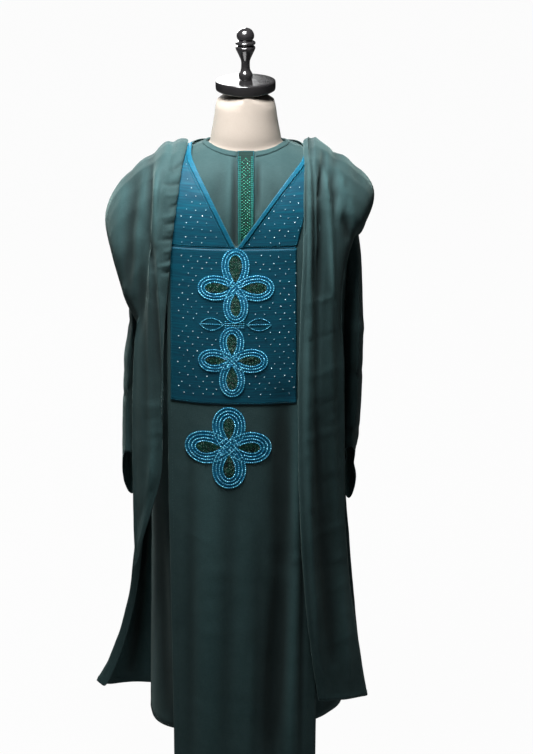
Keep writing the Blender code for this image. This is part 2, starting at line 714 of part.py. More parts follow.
def folded_side(hand, sections, pleats):
    rows = []
    for section in sections:
        x, s = section.inner
        inner = centre(x * MM, s * MM, section.face, 2 * ROLL_RADIUS + ROLL_ROOM)
        rows.append([*inner] + [c * MM for place in section[2:] for c in place])
    top = next(i for i, section in enumerate(sections) if section.valley[1] == 0) / (len(rows) - 1)

    def lines(v):
        flat = through(rows, v * (len(rows) - 1))
        return [Vector(flat[k : k + 3]) for k in range(0, 15, 3)]

    def smooth(u, v):
        """u: 0 to 1/6 turned under, to 2/6 the roll, then the five lines of the section."""
        points = lines(v)
        t = u * 6
        if t >= 2:
            return Vector(through(points, t - 2))
        along = (lines(min(v + 0.01, 1.0))[0] - lines(max(v - 0.01, 0.0))[0]).normalized()
        across = Vector(through(points, 0.08)) - points[0]
        across = (across - along * across.dot(along)).normalized()
        out = along.cross(across) * -hand
        if t < 1:
            return points[0] - out * 2 * ROLL_RADIUS + across * (1 - t) * ROLL_TURN_UNDER
        turn = (2 - t) * pi
        return points[0] - across * ROLL_RADIUS * sin(turn) - out * ROLL_RADIUS * (1 - cos(turn))

    def surface(u, v, side):
        place = smooth(u, v)
        if u * 6 <= 2:
            return place
        step = 0.01
        du = smooth(min(u + step, 1.0), v) - smooth(u, v)
        if u + step > 1:
            du = smooth(u, v) - smooth(u - step, v)
        dv = smooth(u, min(v + step, 1.0)) - smooth(u, max(v - step, 0.0))
        out = dv.cross(du).normalized() * -hand
        swell = PUFF_SWELL[hand] * bell(u - 0.75, 0.16) * bell(v - top, 0.16)
        for pleat in pleats:
            swell += pleat.height * bell(u * 6 - 2 - pleat.across, pleat.width)
        return place + out * swell

    return surface


left = folded_side(-1, WING_LEFT, PLEATS_LEFT)
right = folded_side(1, WING_RIGHT, PLEATS_RIGHT)
wall("robe_wing_left", left, 18, 26, CLOTH, "robe")
wall("robe_wing_right", flipped(right), 18, 28, CLOTH, "robe")


# Dress form


SHOULDER_SHARES = (0.0, 0.12, 0.3, 0.5, 0.68, 0.84, 0.95)
FORM_ROOM = CLOTH + 0.0042
FORM_FRONT_ROOM = 0.0075
FORM_SIDE_ROOM = 0.004


def form_rings():
    """Rings of the torso and neck: neck rows, the shoulders under the tunic, then the torso's rows."""
    steps = 28
    rings = []

    def outline(row, angle):
        c, s = cos(angle), sin(angle)
        power = 2 / row.corner
        depth = row.front if s < 0 else row.back
        return (
            row.half_width * abs(c) ** power * (1 if c > 0 else -1),
            depth * abs(s) ** power * (1 if s > 0 else -1),
        )

    angles = [2 * pi * k / steps for k in range(steps)]
    for row in NECK:
        rings.append([(*outline(row, a), row.z) for a in angles])
    for share in SHOULDER_SHARES:
        ring = []
        for a in angles:
            near, far = outline(NECK_FOOT, a), outline(BODY[0], a)
            x = near[0] + (far[0] * 0.985 - near[0]) * share
            y = near[1] + (far[1] * 0.985 - near[1]) * share
            face = -1 if y < 0 else 1
            s = shoulder_s(x, abs(y), face)
            inset = FORM_ROOM + FORM_FRONT_ROOM * abs(sin(a)) * ease(share, 0.0, 0.5)
            inset += FORM_SIDE_ROOM * ease(share, 0.6, 1.0)
            ring.append(lifted(x / BODY[0].half_width, s, face, -inset))
        rings.append(ring)
    for k in range(1, 11):
        z = CHEST_Z - (CHEST_Z - FORM[-1].z) * k / 10
        row = Girth(z, *level(FORM, z)[1:])
        rings.append([(*outline(row, a), z) for a in angles])
    last = FORM[-1]
    for inset, z in ((0.012, FORM_BOTTOM_Z + 0.006), (0.030, FORM_BOTTOM_Z)):
        row = Girth(z, last.half_width - inset, last.front - inset, last.back - inset, last.corner)
        rings.append([(*outline(row, a), z) for a in angles])
    return rings


lofted("form_body", form_rings(), "linen", 60)

edge = 0.0030
turned(
    "form_cap",
    (
        (CAP_RADIUS - edge, CAP_TOP_Z),
        (CAP_RADIUS - edge * 0.3, CAP_TOP_Z - edge * 0.3),
        (CAP_RADIUS, CAP_TOP_Z - edge),
        (CAP_RADIUS, CAP_TOP_Z - CAP_HEIGHT + edge),
        (CAP_RADIUS - edge, CAP_TOP_Z - CAP_HEIGHT),
    ),
    32,
    "lacquer",
)

# Turned finial: foot, stem, two rings and a domed top, radius and height above the cap in mm
FINIAL = (
    (3.0, 103.0),
    (9.5, 101.5),
    (14.5, 97.5),
    (17.6, 91.0),
    (18.0, 85.0),
    (15.5, 80.0),
    (12.5, 78.0),
    (19.6, 76.5),
    (20.6, 73.5),
    (19.6, 70.5),
    (13.5, 69.0),
    (19.4, 67.0),
    (20.3, 63.5),
    (18.5, 59.0),
    (13.5, 49.0),
    (9.5, 41.0),
    (8.5, 36.0),
    (8.6, 22.0),
    (10.5, 18.0),
    (14.2, 13.0),
    (14.6, 8.0),
    (13.2, 3.0),
    (13.6, 0.3),
)
turned("form_finial", [(r * MM, CAP_TOP_Z + z * MM) for r, z in FINIAL], 16, "lacquer")

turned(
    "form_pole",
    (
        (POLE_RADIUS, FORM_BOTTOM_Z - SEAM),
        (POLE_RADIUS, HUB_HEIGHT + SEAM),
    ),
    20,
    "steel",
)
turned(
    "form_base",
    (
        (HUB_RADIUS * 0.7, HUB_HEIGHT),
        (HUB_RADIUS * 0.92, HUB_HEIGHT - 0.003),
        (HUB_RADIUS, HUB_HEIGHT - 0.012),
        (HUB_RADIUS * 1.05, BASE_HEIGHT + 0.006),
        (HUB_RADIUS * 1.5, BASE_HEIGHT + 0.001),
        (BASE_RADIUS - 0.012, BASE_HEIGHT - 0.004),
        (BASE_RADIUS - 0.002, BASE_HEIGHT - 0.008),
        (BASE_RADIUS, BASE_HEIGHT - 0.012),
        (BASE_RADIUS - 0.003, 0.0),
    ),
    32,
    "lacquer",
)
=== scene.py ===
"""Looks of a grand boubou robe over its matching tunic, on a limbless dress form."""

from math import cos, pi, radians, sin

import bmesh
import bpy
import numpy as np
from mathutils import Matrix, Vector, noise
from mathutils.bvhtree import BVHTree
from mathutils.kdtree import KDTree


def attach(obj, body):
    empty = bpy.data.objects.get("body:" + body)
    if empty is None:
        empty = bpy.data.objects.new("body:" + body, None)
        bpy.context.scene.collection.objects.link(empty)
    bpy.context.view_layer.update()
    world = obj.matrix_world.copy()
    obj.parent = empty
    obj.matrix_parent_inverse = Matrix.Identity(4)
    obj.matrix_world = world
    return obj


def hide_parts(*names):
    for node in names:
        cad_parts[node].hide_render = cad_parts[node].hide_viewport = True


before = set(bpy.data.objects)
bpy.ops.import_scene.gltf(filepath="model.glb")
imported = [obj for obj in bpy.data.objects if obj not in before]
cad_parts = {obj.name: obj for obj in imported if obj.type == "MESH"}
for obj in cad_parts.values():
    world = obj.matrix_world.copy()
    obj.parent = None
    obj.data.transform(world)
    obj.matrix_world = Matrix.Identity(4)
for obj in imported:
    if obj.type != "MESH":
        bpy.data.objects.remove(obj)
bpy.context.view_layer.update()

# The photographer's place: a little right of the middle, above the form's finial and looking
# down on the robe, on a long lens.
camera = bpy.data.objects.new("camera", bpy.data.cameras.new("camera"))
camera.data.sensor_fit = "VERTICAL"
camera.data.sensor_height = 36
camera.data.lens = 111.8
camera.location = (0.041, -4.5, 2.661)
camera.rotation_euler = (radians(90 - 20.5), 0, 0)
bpy.context.scene.collection.objects.link(camera)
bpy.context.scene.camera = camera

# A plain white studio: one soft lamp over the shoulders, which leaves the lower cloth dark, a weak
# broad lamp from the camera's side, and a broad one behind so that the back can be read. The backdrop
# and the floor look white, but throw little light on the cloth.
bpy.context.scene.view_settings.view_transform = "Standard"
studio = bpy.data.worlds.new("studio")
studio.use_nodes = True
tree = studio.node_tree
tree.nodes["Background"].inputs["Color"].default_value = (0.93, 0.96, 1.0, 1)
tree.nodes["Background"].inputs["Strength"].default_value = 0.035
paper = tree.nodes.new("ShaderNodeBackground")
paper.inputs["Color"].default_value = (0.97, 0.97, 0.97, 1)
seen = tree.nodes.new("ShaderNodeLightPath")
blend = tree.nodes.new("ShaderNodeMixShader")
tree.links.new(seen.outputs["Is Camera Ray"], blend.inputs["Fac"])
tree.links.new(tree.nodes["Background"].outputs["Background"], blend.inputs[1])
tree.links.new(paper.outputs["Background"], blend.inputs[2])
tree.links.new(blend.outputs["Shader"], tree.nodes["World Output"].inputs["Surface"])
bpy.context.scene.world = studio
for name, size, power, place, aim in (
    ("lamp_over", 0.5, 48, (-0.16, -0.42, 2.34), (0.0, 0.0, 1.40)),
    ("lamp_front", 2.4, 3.0, (-0.9, -4.4, 2.3), (0.0, 0.0, 1.05)),
    ("lamp_behind", 2.0, 90, (-1.0, 3.4, 2.5), (0.0, 0.0, 1.10)),
):
    lamp = bpy.data.objects.new(name, bpy.data.lights.new(name, "AREA"))
    lamp.data.size = size
    lamp.data.energy = power
    lamp.location = place
    lamp.rotation_euler = (Vector(aim) - Vector(place)).to_track_quat("-Z", "Y").to_euler()
    bpy.context.scene.collection.objects.link(lamp)

bm = bmesh.new()
bmesh.ops.create_grid(bm, x_segments=1, y_segments=1, size=14)
mesh = bpy.data.meshes.new("studio_floor")
bm.to_mesh(mesh)
bm.free()
floor = bpy.data.objects.new("studio_floor", mesh)
floor.location.z = -0.001
bpy.context.scene.collection.objects.link(floor)
white_floor = bpy.data.materials.new("white_floor")
white_floor.use_nodes = True
tree = white_floor.node_tree
tree.nodes["Principled BSDF"].inputs["Base Color"].default_value = (0.30, 0.30, 0.30, 1)
tree.nodes["Principled BSDF"].inputs["Roughness"].default_value = 0.9
seen = tree.nodes.new("ShaderNodeLightPath")
share = tree.nodes.new("ShaderNodeMath")
share.operation = "MULTIPLY"
share.inputs[1].default_value = 0.97
glow = tree.nodes.new("ShaderNodeEmission")
blend = tree.nodes.new("ShaderNodeMixShader")
tree.links.new(seen.outputs["Is Camera Ray"], share.inputs[0])
tree.links.new(share.outputs["Value"], blend.inputs["Fac"])
tree.links.new(tree.nodes["Principled BSDF"].outputs["BSDF"], blend.inputs[1])
tree.links.new(glow.outputs["Emission"], blend.inputs[2])
tree.links.new(blend.outputs["Shader"], tree.nodes["Material Output"].inputs["Surface"])
floor.data.materials.append(white_floor)

# Torso of the dress form: a padded shell without arms, with its neck in one piece, covered in
# cream linen that is pulled tight. The robe and tunic rest on its shoulders.
LINEN = (0.31, 0.268, 0.230)
LINEN_WORN = (0.37, 0.325, 0.280)
MERGE = 0.00005
PAIRING = radians(75)


def new_finish(name):
    """A new material, with its nodes, links, main shader and the places on the object."""
    made = bpy.data.materials.new(name)
    made.use_nodes = True
    nodes, links = made.node_tree.nodes, made.node_tree.links
    place = nodes.new("ShaderNodeTexCoord").outputs["Object"]
    return made, nodes, links, nodes["Principled BSDF"], place


def levelled(nodes, links, source, low, high, first=0, last=1):
    """Values of the source from first to last, turned into low to high."""
    level = nodes.new("ShaderNodeMapRange")
    for name, value in (("From Min", first), ("From Max", last), ("To Min", low), ("To Max", high)):
        level.inputs[name].default_value = value
    links.new(source, level.inputs["Value"])
    return level.outputs["Result"]


def tinted(nodes, links, share, low, high):
    """Colour between low and high, by the share."""
    shade = nodes.new("ShaderNodeMix")
    shade.data_type = "RGBA"
    shade.inputs[6].default_value = (*low, 1)
    shade.inputs[7].default_value = (*high, 1)
    links.new(share, shade.inputs["Factor"])
    return shade.outputs[2]


def weave_group():
    """Shared cloth surface: thread ripple for the bump, slow mottle for colour and roughness.

    Fold paints shade into the troughs of the folds and a painted highlight along their ridges.
    """
    group = bpy.data.node_groups.new("weave", "ShaderNodeTree")
    for name, kind, default in (
        ("Place", "NodeSocketVector", None),
        ("Thread", "NodeSocketFloat", 900.0),
        ("Cloth", "NodeSocketColor", (0.1, 0.1, 0.1, 1)),
        ("Worn", "NodeSocketColor", (0.2, 0.2, 0.2, 1)),
        ("Mottle", "NodeSocketFloat", 0.5),
        ("Fold", "NodeSocketFloat", 0.0),
    ):
        socket = group.interface.new_socket(name, in_out="INPUT", socket_type=kind)
        if default is not None:
            socket.default_value = default
    for name, kind in (
        ("Colour", "NodeSocketColor"),
        ("Rough", "NodeSocketFloat"),
        ("Ripple", "NodeSocketFloat"),
    ):
        group.interface.new_socket(name, in_out="OUTPUT", socket_type=kind)
    nodes, links = group.nodes, group.links
    start = nodes.new("NodeGroupInput")
    end = nodes.new("NodeGroupOutput")

    def threads(stretch, detail):
        """Noise drawn out along one thread direction."""
        turn = nodes.new("ShaderNodeVectorMath")
        turn.operation = "MULTIPLY"
        turn.inputs[1].default_value = stretch
        links.new(start.outputs["Place"], turn.inputs[0])
        grain = nodes.new("ShaderNodeTexNoise")
        grain.inputs["Detail"].default_value = detail
        links.new(turn.outputs[0], grain.inputs["Vector"])
        links.new(start.outputs["Thread"], grain.inputs["Scale"])
        return grain.outputs["Fac"]

    warp = threads((1.0, 1.0, 0.12), 2.0)
    weft = threads((0.12, 0.3, 1.0), 2.0)
    ripple = nodes.new("ShaderNodeMath")
    ripple.operation = "ADD"
    links.new(warp, ripple.inputs[0])
    links.new(weft, ripple.inputs[1])
    slow = nodes.new("ShaderNodeTexNoise")
    slow.inputs["Scale"].default_value = 9.0
    slow.inputs["Detail"].default_value = 5.0
    slow.inputs["Roughness"].default_value = 0.65
    links.new(start.outputs["Place"], slow.inputs["Vector"])
    both = nodes.new("ShaderNodeMath")
    both.operation = "MULTIPLY_ADD"
    both.inputs[1].default_value = 0.45
    links.new(ripple.outputs[0], both.inputs[0])
    links.new(slow.outputs["Fac"], both.inputs[2])
    share = levelled(nodes, links, both.outputs[0], 0, 1, 0.72, 1.18)
    scaled = nodes.new("ShaderNodeMath")
    scaled.operation = "MULTIPLY"
    links.new(share, scaled.inputs[0])
    links.new(start.outputs["Mottle"], scaled.inputs[1])
    colour = nodes.new("ShaderNodeMix")
    colour.data_type = "RGBA"
    links.new(scaled.outputs[0], colour.inputs["Factor"])
    links.new(start.outputs["Cloth"], colour.inputs[6])
    links.new(start.outputs["Worn"], colour.inputs[7])
    rough = levelled(nodes, links, slow.outputs["Fac"], 0.92, 0.70)
    # Painted shade in the fold troughs and painted highlight on the ridges: the colour is scaled by the
    # fold depth.
    painted_fold_shading = levelled(nodes, links, start.outputs["Fold"], 0.35, 1.65, -1, 1)
    tone = nodes.new("ShaderNodeVectorMath")
    tone.operation = "SCALE"
    links.new(colour.outputs[2], tone.inputs[0])
    links.new(painted_fold_shading, tone.inputs["Scale"])
    links.new(tone.outputs[0], end.inputs["Colour"])
    links.new(rough, end.inputs["Rough"])
    links.new(ripple.outputs[0], end.inputs["Ripple"])
    return group


weave = weave_group()


def woven(name, cloth, worn, thread, mottle, depth, sheen):
    """A cloth material with its own colours and thread size."""
    made, nodes, links, shader, place = new_finish(name)
    shader.inputs["Sheen Weight"].default_value = sheen
    shader.inputs["Sheen Roughness"].default_value = 0.45
    shader.inputs["Sheen Tint"].default_value = (0.66, 0.95, 0.90, 1)
    shader.inputs["Specular IOR Level"].default_value = 0.25
    cover = nodes.new("ShaderNodeGroup")
    cover.node_tree = weave
    cover.inputs["Thread"].default_value = thread
    cover.inputs["Cloth"].default_value = (*cloth, 1)
    cover.inputs["Worn"].default_value = (*worn, 1)
    cover.inputs["Mottle"].default_value = mottle
    bump = nodes.new("ShaderNodeBump")
    bump.inputs["Strength"].default_value = 0.5
    bump.inputs["Distance"].default_value = depth
    fold = nodes.new("ShaderNodeAttribute")
    fold.attribute_name = "fold"
    links.new(fold.outputs["Fac"], cover.inputs["Fold"])
    links.new(place, cover.inputs["Place"])
    links.new(cover.outputs["Colour"], shader.inputs["Base Color"])
    links.new(cover.outputs["Rough"], shader.inputs["Roughness"])
    links.new(cover.outputs["Ripple"], bump.inputs["Height"])
    links.new(bump.outputs["Normal"], shader.inputs["Normal"])
    return made


def shown(name, bm, finish, slot, *nodes):
    """Put a finished mesh in the scene as a piece that stands for the named solids."""
    mesh = bpy.data.meshes.new(name)
    bm.to_mesh(mesh)
    bm.free()
    mesh.shade_smooth()
    mesh.materials.append(finish)
    piece = bpy.data.objects.new(name, mesh)
    bpy.context.scene.collection.objects.link(piece)
    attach(piece, "root")
    if nodes:
        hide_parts(*nodes)
    return piece


def rounded(bm, levels):
    """Catmull-Clark rounding of a bmesh, its corners kept."""
    mesh = bpy.data.meshes.new("rounding")
    bm.to_mesh(mesh)
    bm.free()
    helper = bpy.data.objects.new("rounding", mesh)
    bpy.context.scene.collection.objects.link(helper)
    smooth = helper.modifiers.new("round", "SUBSURF")
    smooth.levels = smooth.render_levels = levels
    smooth.boundary_smooth = "PRESERVE_CORNERS"
    done = bpy.data.meshes.new_from_object(helper.evaluated_get(bpy.context.evaluated_depsgraph_get()))
    bpy.data.objects.remove(helper, do_unlink=True)
    bm = bmesh.new()
    bm.from_mesh(done)
    return bm


def solid_copy(node):
    """The CAD solid's mesh, merged, with its triangles paired into quads."""
    bm = bmesh.new()
    bm.from_mesh(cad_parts[node].data)
    bmesh.ops.remove_doubles(bm, verts=bm.verts, dist=MERGE)
    bmesh.ops.join_triangles(
        bm, faces=bm.faces, angle_face_threshold=PAIRING, angle_shape_threshold=PAIRING
    )
    return bm


linen = woven("cream_linen", LINEN, LINEN_WORN, 1500, 0.5, 0.0006, 0.06)
shown("torso", rounded(solid_copy("form_body"), 1), linen, "linen", "form_body")

# Neck cap and turned finial of the form, in glossy black lacquer, and below the cloth its steel
# pole on a round black foot. They are turned pieces, seated on each other.


def lacquer_finish():
    """Black lacquer under a clear coat, a little duller where it is handled."""
    made, nodes, links, shader, place = new_finish("black_lacquer")
    shader.inputs["Coat Weight"].default_value = 0.6
    shader.inputs["Coat Roughness"].default_value = 0.06
    handled = nodes.new("ShaderNodeTexNoise")
    handled.inputs["Scale"].default_value = 45
    handled.inputs["Detail"].default_value = 4
    links.new(place, handled.inputs["Vector"])
    touch = handled.outputs["Fac"]
    shade = tinted(nodes, links, touch, (0.006, 0.006, 0.007), (0.016, 0.015, 0.015))
    links.new(levelled(nodes, links, touch, 0.10, 0.26), shader.inputs["Roughness"])
    links.new(shade, shader.inputs["Base Color"])
    return made


def steel_finish():
    """Dark steel, brushed along the pole."""
    made, nodes, links, shader, place = new_finish("dark_steel")
    shader.inputs["Base Color"].default_value = (0.24, 0.24, 0.25, 1)
    shader.inputs["Metallic"].default_value = 1
    stretch = nodes.new("ShaderNodeMapping")
    stretch.inputs["Scale"].default_value = (1, 1, 0.04)
    brushed = nodes.new("ShaderNodeTexNoise")
    brushed.inputs["Scale"].default_value = 700
    links.new(place, stretch.inputs["Vector"])
    links.new(stretch.outputs["Vector"], brushed.inputs["Vector"])
    rough = levelled(nodes, links, brushed.outputs["Fac"], 0.28, 0.48)
    links.new(rough, shader.inputs["Roughness"])
    return made


lacquer = lacquer_finish()
cap = shown("neck_cap", rounded(solid_copy("form_cap"), 2), lacquer, "lacquer", "form_cap")
cap.data.set_sharp_from_angle(angle=radians(50))
shown("finial", rounded(solid_copy("form_finial"), 2), lacquer, "lacquer", "form_finial")
shown("stand_foot", rounded(solid_copy("form_base"), 1), lacquer, "lacquer", "form_base")
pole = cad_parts["form_pole"]
pole.data.materials.clear()
pole.data.materials.append(steel_finish())

# Tunic under the robe: a long shirt in the same dark teal suiting, cut as a front and a back with
# long straight sleeves. Its slit is pressed to one side of the placket. Each sheet is the outer side
# of its solid, rounded, creased and given its thickness.
SUITING = (0.016, 0.042, 0.044)
SUITING_WORN = (0.032, 0.069, 0.071)
CLOTH = 0.0014
CLOTH_SOLID = 0.0015
MOST_ROUNDINGS = 4
suiting = woven("teal_suiting", SUITING, SUITING_WORN, 1150, 0.65, 0.0007, 0.16)


def squared(bm, fineness, long):
    """Cut a sheet's strips into quads long times as long as wide, and round it to that fineness."""
    bm.edges.ensure_lookup_table()
    kinds = {}
    for first in bm.edges:
        if first in kinds:
            continue
        kinds[first] = 0
        stack = [first]
        while stack:
            edge = stack.pop()
            for face in edge.link_faces:
                if len(face.edges) != 4:
                    continue
                ring = list(face.edges)
                place = ring.index(edge)
                for step in (1, 2, 3):
                    other = ring[(place + step) % 4]
                    if other not in kinds:
                        kinds[other] = kinds[edge] if step == 2 else 1 - kinds[edge]
                        stack.append(other)
    groups = [[edge for edge in bm.edges if kinds[edge] == kind] for kind in (0, 1)]
    means = [sum(edge.calc_length() for edge in group) / max(len(group), 1) for group in groups]
    long_way = 0 if means[0] > means[1] else 1
    cuts = round(means[long_way] / max(means[1 - long_way], 0.001) / long) - 1
    if cuts > 0:
        bmesh.ops.subdivide_edges(bm, edges=groups[long_way], cuts=cuts, use_grid_fill=True)
    span = min(means)
    levels = 0
    while span > fineness and levels < MOST_ROUNDINGS:
        span /= 2
        levels += 1
    return rounded(bm, max(levels, 1))


RIM = 1.12
CHEST = Vector((0, 0, 1.3))
SHEET_PAIRING = radians(80)


def cloth_sheet(node, wall, fineness, long=1.0, tube=False):
    """The outer side of a cloth solid, as one open sheet of rounded quads.

    Faces with an edge no longer than RIM times the wall lie on the rim, and are left out.
    """
    bm = bmesh.new()
    bm.from_mesh(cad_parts[node].data)
    bmesh.ops.remove_doubles(bm, verts=bm.verts, dist=MERGE)
    rim = [face for face in bm.faces if min(edge.calc_length() for edge in face.edges) < wall * RIM]
    bmesh.ops.delete(bm, geom=rim, context="FACES")
    left = set(bm.faces)
    sides = []
    while left:
        side = {left.pop()}
        stack = list(side)
        while stack:
            for edge in stack.pop().edges:
                fresh = left.intersection(edge.link_faces)
                left -= fresh
                side |= fresh
                stack.extend(fresh)
        sides.append(side)

    def outward(side):
        """How far the side faces away from the middle of the garment, or of a sleeve."""
        middle = CHEST
        if tube:
            middle = sum((face.calc_center_median() for face in side), Vector()) / len(side)
        away = 0
        for face in side:
            reach = face.calc_center_median() - middle
            if tube:
                reach.z = 0
            away += face.calc_area() * face.normal.dot(reach)
        return away

    sides.sort(key=outward)
    inner = [face for side in sides[:-1] for face in side]
    bmesh.ops.delete(bm, geom=inner, context="FACES")
    bmesh.ops.join_triangles(
        bm, faces=bm.faces, angle_face_threshold=SHEET_PAIRING, angle_shape_threshold=SHEET_PAIRING
    )
    return squared(bm, fineness, long)


FOLD_DEPTH = 0.0056
SOFT_END = 0.04
FACE_FADE = 2.5
WAVES = (14, 37)
TURNED_HEIGHT = 0.0004
SEWN_DIP = 0.0003
DIP_WIDTH = 0.006


def creased(bm, creases, face=0, slack=0.0008, hem=0.012):
    """Press creases into a sheet, each a soft ridge, or a trough where its height is minus.

    The fold attribute tells the material where the cloth stands up, to get a painted highlight, and where
    it lies in a trough, to get painted shade.
    face -1 or 1 keeps them to the front or back. slack is the cloth's own unevenness, and along its
    free edges a strip as wide as hem stands up, where the cloth is turned and sewn double.
    """
    bm.verts.ensure_lookup_table()
    bm.normal_update()
    places = np.array([vert.co for vert in bm.verts])
    normals = np.array([vert.normal for vert in bm.verts])
    push = np.zeros(len(places))
    for x0, z0, x1, z1, width, height in creases:
        start = np.array((x0, z0))
        along = np.array((x1, z1)) - start
        flat = places[:, (0, 2)] - start
        t = np.clip(flat @ along / (along @ along), 0, 1)
        gap = np.linalg.norm(flat - t[:, None] * along, axis=1) / width
        swell = np.sin(pi * (SOFT_END + (1 - 2 * SOFT_END) * t))
        push += height * np.exp(-gap * gap) * np.sqrt(np.clip(swell, 0, 1))
    if face:
        push *= np.clip(normals[:, 1] * face * FACE_FADE, 0, 1)
    fold = bm.verts.layers.float.get("fold") or bm.verts.layers.float.new("fold")
    edges = [vert for vert in bm.verts if vert.is_boundary]
    free = KDTree(len(edges))
    for number, vert in enumerate(edges):
        free.insert(vert.co, number)
    free.balance()
    for number, vert in enumerate(bm.verts):
        wide = noise.noise(vert.co * WAVES[0]) + 0.5 * noise.noise(vert.co * WAVES[1])
        # Painted light: the fold depth, kept for the material's painted highlight and painted shade.
        vert[fold] = min(max(vert[fold] + push[number] / FOLD_DEPTH, -1), 1)
        reach = free.find(vert.co)[2]
        turned_edge = TURNED_HEIGHT if reach < hem else -SEWN_DIP * max(1 - (reach - hem) / DIP_WIDTH, 0)
        vert.co += vert.normal * (push[number] + slack * wide + (turned_edge if hem else 0))
    return bm


def cloth_piece(name, bm, node, finish=suiting, slot="robe", wall=CLOTH):
    piece = shown(name, bm, finish, slot, node)
    thick = piece.modifiers.new("thickness", "SOLIDIFY")
    thick.thickness = wall
    thick.offset = -1
    return piece


def surface_of(*pieces):
    """Search tree of the outer sides of sheets."""
    corners, faces = [], []
    for piece in pieces:
        start = len(corners)
        corners += [vert.co.copy() for vert in piece.data.vertices]
        faces += [[start + corner for corner in face.vertices] for face in piece.data.polygons]
    return BVHTree.FromPolygons(corners, faces)


def laid_on(bm, tree, lift):
    """Lay a sheet on the cloth under it, lift above it."""
    for vert in bm.verts:
        place, normal = tree.find_nearest(vert.co)[:2]
        if place:
            out = normal if normal.dot(vert.normal) > 0 else -normal
            vert.co = place + out * lift
    return bm


# Creases, here and further down: x and z of one end, x and z of the other, half width and height.
TUNIC_FRONT_CREASES = (
    (-0.0205, 1.458, -0.0215, 1.284, 0.0046, -0.0080),
    (-0.0300, 1.462, -0.0340, 1.300, 0.0070, 0.0020),
    (0.0255, 1.452, 0.0250, 1.368, 0.0046, -0.0060),
    (0.0700, 0.960, 0.0480, 0.180, 0.0300, -0.0080),
    (0.0310, 1.440, 0.0270, 1.345, 0.0040, 0.0012),
    (-0.0460, 1.440, -0.0640, 1.360, 0.0120, -0.0018),
    (0.0520, 1.430, 0.0700, 1.350, 0.0120, -0.0014),
    (-0.1480, 0.900, -0.1500, 0.190, 0.0240, -0.0070),
    (-0.1800, 0.720, -0.1740, 0.260, 0.0120, -0.0060),
    (-0.1580, 0.640, -0.1500, 0.250, 0.0100, 0.0040),
    (0.1700, 0.700, 0.1750, 0.260, 0.0120, -0.0050),
)
TUNIC_BACK_CREASES = (
    (-0.1600, 0.900, -0.1700, 0.260, 0.0140, -0.0060),
    (-0.0900, 0.840, -0.0980, 0.250, 0.0160, 0.0040),
    (-0.0300, 1.050, -0.0360, 0.250, 0.0140, -0.0050),
    (0.0500, 0.900, 0.0560, 0.250, 0.0150, -0.0050),
    (0.1200, 1.000, 0.1320, 0.260, 0.0130, 0.0050),
    (0.1700, 0.860, 0.1760, 0.260, 0.0110, -0.0050),
)
front = cloth_sheet("tunic_front", CLOTH_SOLID, fineness=0.0050, long=2.5)
front = creased(front, TUNIC_FRONT_CREASES, -1)
tunic_front = cloth_piece(
    "tunic_front_cloth", front, "tunic_front", slot="tunic"
)
back = creased(cloth_sheet("tunic_back", CLOTH_SOLID, fineness=0.0090), TUNIC_BACK_CREASES, 1)
tunic_back = cloth_piece(
    "tunic_back_cloth", back, "tunic_back", slot="tunic"
)

# Sleeves of the tunic: long and straight, flat where they hang, with cuffs cut at a slant. The inner
# side of the right one lies against the body, and at the cuffs the cloth is painted lighter, painted light
# on its shaded inside.
SLEEVE_LEFT_CREASES = (
    (-0.236, 1.190, -0.246, 0.860, 0.0090, -0.0030),
    (-0.240, 1.060, -0.252, 1.010, 0.0080, 0.0026),
    (-0.230, 0.980, -0.256, 0.940, 0.0070, -0.0022),
    (-0.238, 0.930, -0.240, 0.700, 0.0090, 0.0030),
    (-0.226, 1.120, -0.250, 1.090, 0.0080, -0.0024),
)
SLEEVE_RIGHT_CREASES = (
    (0.220, 1.200, 0.226, 0.900, 0.0080, -0.0026),
    (0.205, 0.900, 0.232, 0.860, 0.0070, -0.0030),
    (0.203, 0.850, 0.226, 0.815, 0.0060, 0.0026),
    (0.206, 0.815, 0.224, 0.790, 0.0070, -0.0032),
    (0.226, 0.830, 0.227, 0.770, 0.0140, -0.0040),
    (0.218, 1.120, 0.240, 1.080, 0.0080, 0.0022),
    (0.216, 1.020, 0.238, 0.990, 0.0080, -0.0022),
)
SLEEVE_SLACK = 0.015
SLACK_FOOT_Z = 0.82
SLACK_TOP_Z = 1.31
SLACK_FADE = 0.05
CUFF_TOP_Z = 0.80
sleeves = []
for side, creases in (("left", SLEEVE_LEFT_CREASES), ("right", SLEEVE_RIGHT_CREASES)):
    tube = cloth_sheet(f"tunic_sleeve_{side}", CLOTH_SOLID, fineness=0.0045, long=2.0, tube=True)
    tube = creased(tube, creases)
    if side == "right":
        for vert in tube.verts:
            over_cuff = min(max((vert.co.z - SLACK_FOOT_Z) / SLACK_FADE, 0), 1)
            under_puff = min(max((SLACK_TOP_Z - vert.co.z) / SLACK_FADE, 0), 1)
            vert.co.x -= SLEEVE_SLACK * over_cuff * under_puff * max(-vert.normal.x, 0)
    fold = tube.verts.layers.float["fold"]
    # Painted light: below the top of the cuffs the fold attribute is set to its full painted highlight.
    for vert in tube.verts:
        vert[fold] = max(vert[fold], 1.0 if vert.co.z < CUFF_TOP_Z else -1)
    sleeves.append(
        cloth_piece(
            f"sleeve_{side}_cloth", tube, f"tunic_sleeve_{side}",
            slot="tunic",
        )
    )

# Narrow facing round the neck of the tunic, turned out and stitched down along its edges, and the
# braid placket over the slit: a dark net strip with two green cords down each side and chevrons of
# green sequins between them.
TRIM_SOLID = 0.0012
BRAID_SOLID = 0.0020
FACING_LIFT = 0.0012
on_tunic = surface_of(tunic_front, tunic_back)
facing = laid_on(cloth_sheet("tunic_neckband", TRIM_SOLID, fineness=0.0035), on_tunic, FACING_LIFT)
neck_facing = cloth_piece(
    "neck_facing", facing, "tunic_neckband",
    slot="tunic", wall=0.0010,
)

